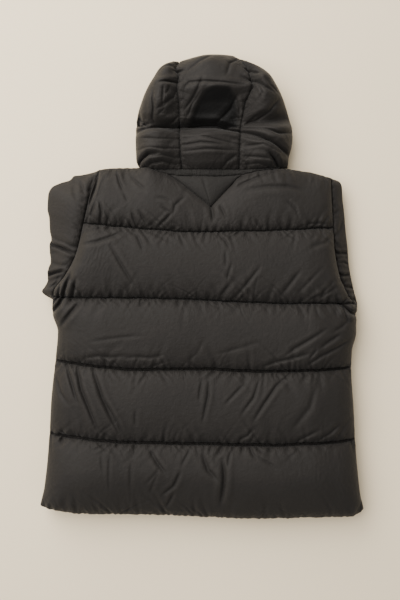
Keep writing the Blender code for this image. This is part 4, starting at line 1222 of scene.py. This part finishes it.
def hood_gathers(x, y, inner, depth, width, seed):
    """Folds that run off the neck and off the hood's two seams."""
    drop = gathers(x, y - y_at(BAND_TOP, x), seed, Gather(0.010, (0.008, 0.045), depth, width))
    beside_seam = Gather(0.0075, (0.006, 0.050), depth, width, 0.35)
    for number, column in enumerate(HOOD_SEAMS):
        off = x - x[:, column:column + 1]
        for side in (-1, 1):
            drop += gathers(y, side * off, seed + 3 + 2 * number + side, beside_seam)
    return drop * inner


def make_hood():
    (x, y, z, to_outline), up = hood_form()
    first, second = HOOD_SEAMS
    seam_off = np.minimum(np.abs(x - x[:, first:first + 1]), np.abs(x - x[:, second:second + 1]))
    inner = rounding(to_outline, 0.02)
    dent = in_dent(x, y)
    z = z - through(SINK_UP, SINK, up)[:, None] * blend(0.35, 1.0, dent) * inner
    z = z - 0.003 * near(seam_off, 0.004) - SOFT_SHARE * crease_drop(x, y, HOOD_CREASES)
    z = z - hood_gathers(x, y, inner, 0.0016, 0.0026, 301)
    z = z + 0.003 * ripple(51, x, y, 0.05) * rounding(to_outline, 0.03)
    free = free_cloth(x.shape, columns=(0, first, second, -1)) * (1.0 - 0.8 * dent)
    slack = 1.0 - 0.85 * dent
    cloth = settle(surface(x, y, z), free, (0.02 + 0.04 * near(up, 0.10)[:, None]) * slack,
                   (0.025 + 0.045 * near(seam_off, 0.014)) * slack,
                   0.05 * slack * ripple(52, x, y, 0.06), seed=53)
    cloth[..., 2] -= crisp_drop(x, y, HOOD_CREASES, share=0.45, narrow=0.42) * inner
    cloth[..., 2] -= 0.0012 * near(seam_off, 0.0016) * inner
    cloth[..., 2] -= hood_gathers(x, y, inner, 0.0009, 0.0012, 361)
    # Painted shade: the hollow's cloth is coloured towards near black, below SHADE_TOP_Y.
    shade = dent * smooth_step((SHADE_TOP_Y - y) / 0.018)
    low = hood_underside(x, y, to_outline, up)
    cloth[..., 2] = np.maximum(cloth[..., 2], low + LEAST_HOOD)
    inside = surface(x, y, low)
    for name, node, part in (("hood_left_side", "hood_left", np.s_[:, :first + 1]),
                             ("hood_middle", "hood_centre", np.s_[:, first:second + 1]),
                             ("hood_right_side", "hood_right", np.s_[:, second:])):
        marks = cloth_marks(cloth[part], seam_off[part], shade[part])
        piece = padded_piece(name, cloth[part], inside[part], marks, 10, 6)
        finish_piece(piece, node, shell_nylon)
    return cloth


# ---- sleeves -----------------------------------------------------------------------------

STRIP_ROWS = 128
LEAST_STRIP = 0.002        # the least padding of the sleeve beside the armhole
STRIP_FLOOR = 0.0005
SEAM_OVERLAP = 0.0004
STRIP_GATHER = Gather(0.010, (0.006, 0.035), 0.0024, 0.0026, 0.4)


def make_strip(name, node, fold_line, body_line, side, tucks, creases, columns, seed):
    """The part of the sleeve that shows beside the armhole, down to the surface."""
    span = np.linspace(0.0, 1.0, STRIP_ROWS + 1)
    top_y = float(neck_y(body_line(np.array(fold_line[0].y))))
    seam_y = blend(top_y, fold_line[-1].y + STRIP_END, span)[:, None]
    seam_x = body_line(seam_y) + side * SEAM_OVERLAP
    fold_x, fold_y = along(fold_line, span)
    across = np.linspace(0.0, 1.0, columns + 1)[None, :]
    x, y = blend(fold_x, seam_x, across), blend(fold_y, seam_y, across)
    width = np.hypot(fold_x - seam_x, fold_y - seam_y)
    puff = STRIP_PUFF * width * hump(across)
    for tuck_y in tucks:
        puff = puff * (1.0 - TUCK_DEPTH * near(y - tuck_y, TUCK_WIDTH))
    seam_height = mid_height(seam_x, seam_y) + ARMHOLE_THICKNESS
    high = blend(EDGE_HEIGHT, seam_height, smooth_step(across)) + puff
    under = rounding(across * width, np.minimum(UNDERSIDE_ROUND, 0.8 * width))
    under = under * rounding(y[0, 0] + STRIP_END - y, UNDERSIDE_ROUND)
    low = blend(EDGE_HEIGHT - RIM, STRIP_FLOOR, under)
    x, y, high, low, from_fold = mirrored([x, y, high, low, across * width], side > 0)
    away = width - from_fold
    high = high - crease_drop(x, y, creases) - gathers(y, away, seed, STRIP_GATHER)
    free = free_cloth(x.shape)
    cloth = settle(surface(x, y, high), free, 0.03, 0.05, 0.05 * ripple(seed, x, y, 0.05),
                   seed=seed, reach=0.006)
    cloth[..., 2] -= crisp_drop(x, y, creases) * free
    cloth[..., 2] = np.maximum(cloth[..., 2], low + LEAST_STRIP)
    piece = padded_piece(name, cloth, surface(x, y, low), cloth_marks(cloth, away), 6, 4)
    finish_piece(piece, node, shell_nylon)


# ---- underside: fronts, folded sleeves, cuffs, collar and zip ----------------------------

FRONT_ROWS = 48
FRONT_COLUMNS = 120
FRONT_GATHER = Gather(0.012, (0.008, 0.05), 0.0018, 0.0035)
SLEEVE_RINGS = 120
SLEEVE_AROUND = 56
CUFF_RIBS = 44
FLOOR_CLEAR = 0.0003       # the lowest that the dressed cloth comes to the surface
QUARTER_TURN = math.pi / 2.0
SLEEVE_PRESS = 0.16        # how much thinner the folded sleeve is at its quilting
PLACKET_LIFT = 0.004
PLACKET_WIDTH = 0.010
LEAST_FRONT = 0.002        # the least padding of a front
UNDER_BACK = 0.0005        # how far a front's hidden top lies under the back
CUFF_RIB_DEPTH = 0.022
CUFF_SWELL = 0.0018
CUFF_RUNS = np.array([0.0, 0.04, 0.12, 0.3, 0.5, 0.7, 0.88, 0.96, 1.0])
CUFF_MOUTH = ((0.88, 0.0), (0.80, 0.002), (0.76, 0.018))      # share of the lip, way back in


def sleeve_route(size, count):
    """Stations from the armhole inwards, round a bend and down: x, y, turn and share."""
    first_run = abs(size.down_x - size.start_x) - SLEEVE_TURN
    bend = SLEEVE_TURN * QUARTER_TURN
    corner_y = size.start_y - SLEEVE_TURN
    total = first_run + bend + corner_y - size.cuff_y
    gone = np.linspace(0.0, total, count + 1)
    turn = np.clip((gone - first_run) / SLEEVE_TURN, 0.0, QUARTER_TURN)
    straight = np.minimum(gone, first_run)
    x = size.start_x - size.side * (straight + SLEEVE_TURN * np.sin(turn))
    y = corner_y + SLEEVE_TURN * np.cos(turn) - np.maximum(gone - first_run - bend, 0.0)
    return x, y, turn, gone / total


def sleeve_section(share):
    """Half width and thickness of the folded sleeve at a share of its length."""
    wave = np.abs(np.cos(math.pi * SLEEVE_CHAMBERS * share)) ** SLEEVE_NIP_POWER
    half = blend(SLEEVE_TOP_WIDTH, SLEEVE_CUFF_WIDTH, share) / 2.0 - SLEEVE_NIP * wave
    thick = blend(SLEEVE_THIN, SLEEVE_FLAT, smooth_step(share / THIN_SHARE))
    return half, thick * (1.0 - SLEEVE_PRESS * wave), wave


def squared(value):
    return np.sign(value) * np.abs(value) ** RING_SQUARENESS


def flat_rings(x, y, turn, side, half, thick, around):
    """Flattened round sections across a route, level underneath, as rings by points."""
    angle = 2.0 * math.pi * (np.arange(around) + 0.5) / around
    x, y, turn, half, thick = (part[:, None] for part in (x, y, turn, half, thick))
    out = half * squared(np.cos(angle))[None, :]
    up = squared(np.sin(angle))[None, :]
    below = thick * RING_MIDDLE * np.clip(1.0 + up, 0.0, 1.0) ** 1.6
    z = np.where(up < 0.0, below, thick * blend(RING_MIDDLE, 1.0, up))
    return surface(x - side * out * np.sin(turn), y + out * np.cos(turn), z)


def make_folded_sleeve(name, node, size, seed):
    """The sleeve pressed flat under the front, quilted across."""
    x, y, turn, share = sleeve_route(size, SLEEVE_RINGS)
    half, thick, wave = sleeve_section(share)
    rings = flat_rings(x, y, turn, size.side, half, thick, SLEEVE_AROUND)
    wave, height = wave[:, None], rings[..., 2]
    lumps = ripple(seed, rings[..., 0], rings[..., 1], 0.022)
    dips = np.abs(0.0012 * lumps * (0.4 + wave)) * (height > 0.002)
    rings[..., 2] = np.maximum(height - dips, FLOOR_CLEAR)
    # 'proud' makes the tone rise and fall with the lumps; 'sewn' darkens it at the quilting,
    # painted shade.
    piece = tube_piece(name, rings, {"proud": 0.5 + 0.3 * lumps, "sewn": wave ** 3,
                                     "gathered": wave ** 3, "shaded": 0.0})
    finish_piece(piece, node, shell_nylon)


def sleeve_room(x, y, size):
    """How high the folded sleeve lifts the front over it."""
    route_x, route_y, _, share = sleeve_route(size, 160)
    route_x = np.append(route_x, route_x[-1])
    route_y = np.append(route_y, route_y[-1] - CUFF_LENGTH)
    off = np.hypot(x[..., None] - route_x, y[..., None] - route_y)
    nearest = off.argmin(axis=-1)
    half, thick, _ = sleeve_section(np.append(share, 1.0))
    lateral = off.min(axis=-1) / (half[nearest] + 0.001)
    cosine = np.clip(lateral, 0.0, 1.0) ** (1.0 / RING_SQUARENESS)
    rise = np.sqrt(1.0 - cosine ** 2) ** RING_SQUARENESS
    height = thick[nearest] * blend(RING_MIDDLE, 1.0, rise) + 0.0008
    past_cuff = y < size.cuff_y - CUFF_LENGTH - 0.004
    return np.where((lateral < 1.0) & ~past_cuff, height, 0.0)


def front_underside(x, y, rows):
    """Flat on the surface, with a groove at each quilting line and a round outer edge."""
    share = rows - np.floor(rows)
    nearest = np.minimum(share, 1.0 - share)[:, None]
    inner_rows = ((rows > 0.5) & (rows < CHAMBERS - 0.5))[:, None]
    groove = GROOVE_DEPTH * (1.0 - rounding(nearest, GROOVE_SHARE)) * inner_rows
    sides = rounding(x - body_left(y), UNDERSIDE_ROUND)
    sides = sides * rounding(body_right(y) - x, UNDERSIDE_ROUND)
    at_armhole = smooth_step((y - UNDERARM_Y) / UNDERARM_BLEND)
    shoulder = rounding(neck_y(x) - y, UNDERSIDE_ROUND)
    edges = blend(sides, 1.0, at_armhole) * blend(1.0, shoulder, shoulder_share(x))
    edges = edges * rounding(y - y_at(HEM, x), UNDERSIDE_ROUND)
    height = mid_height(x, y) - RIM
    return blend(height, np.minimum(groove, height), edges), edges


def make_front(name, node, size, side, seed):
    """One quilted front, seen from underneath, hollowed over the folded sleeve."""
    step_in = side * (ZIP_HALF + GAP)

    def beside_zip(y):
        return np.full_like(y, ZIP_X) + step_in

    rows, shares = body_rows(FRONT_ROWS), np.linspace(0.0, 1.0, FRONT_COLUMNS + 1)
    edges = (body_left, beside_zip) if side < 0 else (beside_zip, body_right)
    x, y = body_plan(*edges, rows, shares)
    low, edges = front_underside(x, y, rows)
    rise = line_gathers(x, y, QUILTING, (seed, seed + 10), FRONT_GATHER, FRONT_GATHER)
    placket = PLACKET_LIFT * (1.0 - rounding(np.abs(x - ZIP_X - step_in), PLACKET_WIDTH))
    low = np.maximum(low + np.clip(rise, 0.0, 0.01) * edges + placket, FLOOR_CLEAR)
    top = mid_height(x, y)
    low = np.minimum(np.maximum(low, sleeve_room(x, y, size)), top - LEAST_FRONT)
    x, y, low, top, away = mirrored([x, y, low, top, off_sewn(x, y)], True)
    outside = surface(x, y, low)
    inside = surface(x, y, top - UNDER_BACK)
    piece = padded_piece(name, outside, inside, cloth_marks(outside, away), 12, 10)
    finish_piece(piece, node, shell_nylon)


def make_cuff(name, node, size):
    """The gathered binding at the sleeve's end, pressed flat, with its mouth a slit."""
    runs = CUFF_RUNS
    swell = CUFF_SWELL * hump(np.clip(runs, 0.02, 0.98), 0.5)
    around = CUFF_RIBS * 4
    rings = flat_rings(np.full(runs.size, size.down_x),
                       size.cuff_y - GAP - runs * (CUFF_LENGTH - GAP),
                       np.full(runs.size, QUARTER_TURN), size.side,
                       CUFF_WIDTH / 2.0 - 0.002 + swell, CUFF_THICKNESS - 0.003 + swell, around)
    middle = rings.mean(axis=1, keepdims=True)
    rib = np.cos(2.0 * math.pi * CUFF_RIBS * np.arange(around) / around)[None, :, None]
    gathered = CUFF_RIB_DEPTH * rib * hump(runs, 0.4)[:, None, None]
    rings = middle + (rings - middle) * (1.0 + gathered)
    rings[..., 2] = np.maximum(rings[..., 2], 0.0002)
    lip = rings[-1].mean(axis=0)
    mouth = []
    for shrink, back in CUFF_MOUTH:
        ring = lip + (rings[-1] - lip) * np.array([shrink, 1.0, max(2.0 * shrink - 1.35, 0.14)])
        ring[:, 1] += back
        mouth.append(ring)
    piece = tube_piece(name, np.vstack([rings, np.array(mouth)]),
                       {"proud": 0.5, "sewn": 0.0, "gathered": 0.0, "shaded": 0.0})
    finish_piece(piece, node, trim_nylon)


def make_collar(name, node, side, outer_x):
    """Half of the stand collar under the chin, lying flat under the hood."""
    share = np.linspace(0.0, 1.0, 41)[None, :]
    down = np.linspace(0.0, 1.0, 25)[:, None]
    x = blend(outer_x, ZIP_X + side * (ZIP_HALF + 2.0 * GAP), share) + 0.0 * down
    y = blend(COLLAR_TOP_Y, neck_y(x) + 2.0 * GAP, down)
    edge = np.minimum(side * (outer_x - x), COLLAR_TOP_Y - y)
    low = COLLAR_ROUND * (1.0 - rounding(edge, COLLAR_ROUND))
    low = np.maximum(low + 0.0008 * np.abs(ripple(71, x, y, 0.02)), FLOOR_CLEAR)
    x, y, low = mirrored([x, y, low], side < 0)
    outside = surface(x, y, low)
    marks = cloth_marks(outside, np.abs(y - COLLAR_TOP_Y + 0.006))
    piece = padded_piece(name, outside, surface(x, y, COLLAR_HEIGHT), marks, 4, 5)
    finish_piece(piece, node, shell_nylon)


# ---- thread, teeth and other repeats -----------------------------------------------------

TEETH_OFF = 0.0012         # how far a row of teeth stands off the middle
TEETH_HEIGHT = 0.0062
TEETH_DROP = 0.001         # of the first tooth under the zip's top
TEETH_SHIFT = 0.0015       # of one row against the other
TEETH_GUIDE_STEP = 0.01
TAPE_HALF = 0.006
TAPE_UNDER = 0.0082
TAPE_OVER = 0.0090
TAPE_ABOVE_HEM = 0.004
SLIDER_DROP = 0.004        # of the slider's end under the zip's top
SLIDER_WIDTH = 0.015
SLIDER_LENGTH = 0.013


def repeat_tree(name, material, shape):
    """Sets a small solid at even steps along each line, turned to follow it."""
    tree = bpy.data.node_groups.new(name, 'GeometryNodeTree')
    interface = tree.interface
    interface.new_socket(name="Geometry", in_out='INPUT', socket_type='NodeSocketGeometry')
    for label in ("Spacing", "Length", "Width", "Height"):
        interface.new_socket(name=label, in_out='INPUT', socket_type='NodeSocketFloat')
    interface.new_socket(name="Geometry", in_out='OUTPUT', socket_type='NodeSocketGeometry')

    def add(kind, settings=(), **sockets):
        return add_node(tree, kind, settings, **sockets).outputs

    sizes = add('NodeGroupInput')
    line = add('GeometryNodeMeshToCurve', Mesh=sizes["Geometry"])
    steps = add('GeometryNodeResampleCurve', {"mode": 'LENGTH'}, Curve=line[0],
                Length=sizes["Spacing"])
    turn = add('FunctionNodeAlignRotationToVector', {"axis": 'X'},
               Vector=add('GeometryNodeInputTangent')[0])
    size = add('ShaderNodeCombineXYZ', X=sizes["Length"], Y=sizes["Width"], Z=sizes["Height"])
    if shape == "stitch":
        solid = add('GeometryNodeMeshIcoSphere', Radius=0.5, Subdivisions=1)
    else:
        solid = add('GeometryNodeMeshCylinder', Vertices=8, Radius=0.5, Depth=1.0)
    placed = add('GeometryNodeInstanceOnPoints', Points=steps[0], Instance=solid[0],
                 Rotation=turn[0], Scale=size[0])
    real = add('GeometryNodeRealizeInstances', Geometry=placed[0])
    dressed = add('GeometryNodeSetMaterial', Geometry=real[0], Material=material)
    tree.links.new(dressed[0], tree.nodes.new('NodeGroupOutput').inputs[0])
    return tree


def repeated(name, slot, tree, lines, **sizes):
    """A plain mesh of the tree's solids along lines of points, riding on the body."""
    points, edges = [], []
    for line in lines:
        first = len(points)
        points += [tuple(point) for point in line]
        edges += [(first + k, first + k + 1) for k in range(len(line) - 1)]
    guide_mesh = bpy.data.meshes.new(name + "_guide")
    guide_mesh.from_pydata(points, edges, [])
    guide = add_object(name + "_guide", guide_mesh)
    modifier = guide.modifiers.new("repeat", 'NODES')
    modifier.node_group = tree
    for item in tree.interface.items_tree:
        if item.in_out == 'INPUT' and item.name.lower() in sizes:
            modifier[item.identifier] = sizes[item.name.lower()]
    graph = bpy.context.evaluated_depsgraph_get()
    mesh = bpy.data.meshes.new_from_object(guide.evaluated_get(graph))
    guide.modifiers.remove(modifier)
    bpy.data.objects.remove(guide, do_unlink=True)
    mesh.name = name
    mesh.shade_smooth()
    finish_piece(add_object(name, mesh), slot)


def even_line(points, step=0.0016):
    """The same line, lifted off the cloth, through points an even step apart."""
    run = running(length_of(np.diff(points, axis=0)))
    places = np.linspace(0.0, run[-1], max(int(run[-1] / step), 2))
    return (np.stack([np.interp(places, run, points[:, k]) for k in range(3)], axis=-1)
            + np.array([0.0, 0.0, 0.0004]))


def make_stitching(back, hood):
    """Thread along the quilting lines and the hood's seams."""
    tree = repeat_tree("running_stitch", thread, "stitch")
    rows = [even_line(back[number * CHAMBER_ROWS]) for number in range(1, CHAMBERS)]
    repeated("back_stitching", "back", tree, rows, spacing=0.0033, length=0.0026, width=0.0007,
             height=0.0007)
    seams = [even_line(hood[4:-2, column]) for column in HOOD_SEAMS]
    repeated("hood_stitching", "hood_centre", tree, seams, spacing=0.0033, length=0.0026,
             width=0.0006, height=0.0006)


def make_zip():
    """Tape and two rows of moulded teeth, closed up to the chin."""
    bottom_y = float(y_at(HEM, np.array(ZIP_X))) + TAPE_ABOVE_HEM
    y = np.linspace(ZIP_TOP_Y, bottom_y, 61)[:, None]
    x = np.linspace(ZIP_X + TAPE_HALF, ZIP_X - TAPE_HALF, 7)[None, :]
    outside, inside = surface(x, y, TAPE_UNDER), surface(x, y, TAPE_OVER)
    tape = padded_piece("zip_tape", outside, inside, cloth_marks(outside, 0.02), 10, 6)
    finish_piece(tape, "zip_chain", tape_weave)
    lines = []
    for side, shift in ((-1, 0.0), (1, TEETH_SHIFT)):
        line_y = np.arange(ZIP_TOP_Y - TEETH_DROP - shift, bottom_y + 0.002, -TEETH_GUIDE_STEP)
        lines.append(surface(ZIP_X + side * TEETH_OFF, line_y, TEETH_HEIGHT))
    repeated("zip_teeth", "zip_chain", repeat_tree("moulded_teeth", moulded, "tooth"), lines,
             spacing=0.0030, length=0.0017, width=0.0046, height=0.0036)


def make_slider():
    """The slider's flat body under the teeth, its corners eased."""
    middle_y = ZIP_TOP_Y - SLIDER_DROP - SLIDER_LENGTH + SLIDER_LENGTH / 2.0
    edge = [(0.20, 0.0), (0.36, 0.08), (0.46, 0.35), (0.5, 0.6), (0.48, 0.82), (0.34, 0.97),
            (0.12, 1.0)]
    edge = edge + [(-across, up) for across, up in edge[::-1]]
    layers = ((0.86, 0.0003), (1.0, 0.0007), (1.0, 0.0019), (0.92, 0.0024), (0.62, 0.0024),
              (0.56, 0.0036))
    rings = np.array([[(ZIP_X + SLIDER_WIDTH / 2.0 * across * size,
                        middle_y + (SLIDER_LENGTH * up - SLIDER_LENGTH / 2.0) * size, height)
                       for across, up in edge] for size, height in layers])
    finish_piece(tube_piece("zip_slider_body", rings, {}), "zip_slider", dark_metal)


# ---- floor, light and camera -------------------------------------------------------------

FLOOR_REACH = 3.0
FLOOR_Z = -0.0006
CAMERA_PLACE = (-0.008, -0.027, 1.6)
CAMERA_LENS = 46.8


def make_floor():
    mesh = bpy.data.meshes.new("pale_floor")
    corners = [(-1, -1), (1, -1), (1, 1), (-1, 1)]
    mesh.from_pydata([(FLOOR_REACH * x, FLOOR_REACH * y, 0.0) for x, y in corners], [],
                     [(0, 1, 2, 3)])
    floor = add_object("pale_floor", mesh)
    floor.location = (0.0, 0.0, FLOOR_Z)
    finish = Finish("pale_paper", 0.85, specular=0.2)
    colour = finish.mix(finish.noise(finish.place(), 1.3, 2.0), (0.94, 0.80, 0.57, 1.0),
                        (0.97, 0.83, 0.60, 1.0))
    mesh.materials.append(finish.dress(Base_Color=colour))


def area_light(name, place, aim, size, power, colour):
    lamp = bpy.data.lights.new(name, 'AREA')
    lamp.shape, lamp.size, lamp.size_y = 'RECTANGLE', size[0], size[1]
    lamp.energy, lamp.color = power, colour
    item = add_object(name, lamp)
    item.location = place
    item.rotation_euler = (Vector(aim) - Vector(place)).to_track_quat('-Z', 'Y').to_euler()


def light_scene():
    area_light("window", (-1.1, 1.9, 1.35), (0.0, 0.0, 0.0), (2.2, 1.6), 68.0,
               (1.0, 0.95, 0.89))
    area_light("ceiling", (-1.1, 0.6, 2.0), (-0.1, 0.0, 0.0), (2.4, 2.2), 84.0,
               (1.0, 0.97, 0.94))
    world = bpy.data.worlds.new("soft_room")
    bpy.context.scene.world = world
    world.use_nodes = True
    ground = world.node_tree.nodes["Background"]
    ground.inputs["Color"].default_value = (1.0, 0.97, 0.93, 1.0)
    ground.inputs["Strength"].default_value = 0.55


def make_camera():
    lens = bpy.data.cameras.new("overhead")
    lens.lens = CAMERA_LENS
    camera = add_object("overhead", lens)
    camera.location = CAMERA_PLACE
    bpy.context.scene.camera = camera


back_cloth = make_back()
make_gusset()
make_neck_band()
hood_cloth = make_hood()
make_strip("sleeve_left_upper", "sleeve_left", FOLD_LEFT, body_left, -1, TUCKS_LEFT,
           LEFT_SLEEVE_CREASES, 40, 61)
make_strip("sleeve_right_upper", "sleeve_right", FOLD_RIGHT, body_right, 1, TUCKS_RIGHT,
           RIGHT_SLEEVE_CREASES, 20, 62)
make_folded_sleeve("sleeve_left_folded", "sleeve_left", SLEEVE_LEFT, 81)
make_folded_sleeve("sleeve_right_folded", "sleeve_right", SLEEVE_RIGHT, 82)
make_front("quilted_front_left", "front_left", SLEEVE_LEFT, -1, 400)
make_front("quilted_front_right", "front_right", SLEEVE_RIGHT, 1, 440)
make_cuff("cuff_binding_left", "cuff_left", SLEEVE_LEFT)
make_cuff("cuff_binding_right", "cuff_right", SLEEVE_RIGHT)
make_collar("chin_left", "collar_left", -1, COLLAR_LEFT_X)
make_collar("chin_right", "collar_right", 1, COLLAR_RIGHT_X)
make_stitching(back_cloth, hood_cloth)
make_zip()
make_slider()
make_floor()
light_scene()
make_camera()
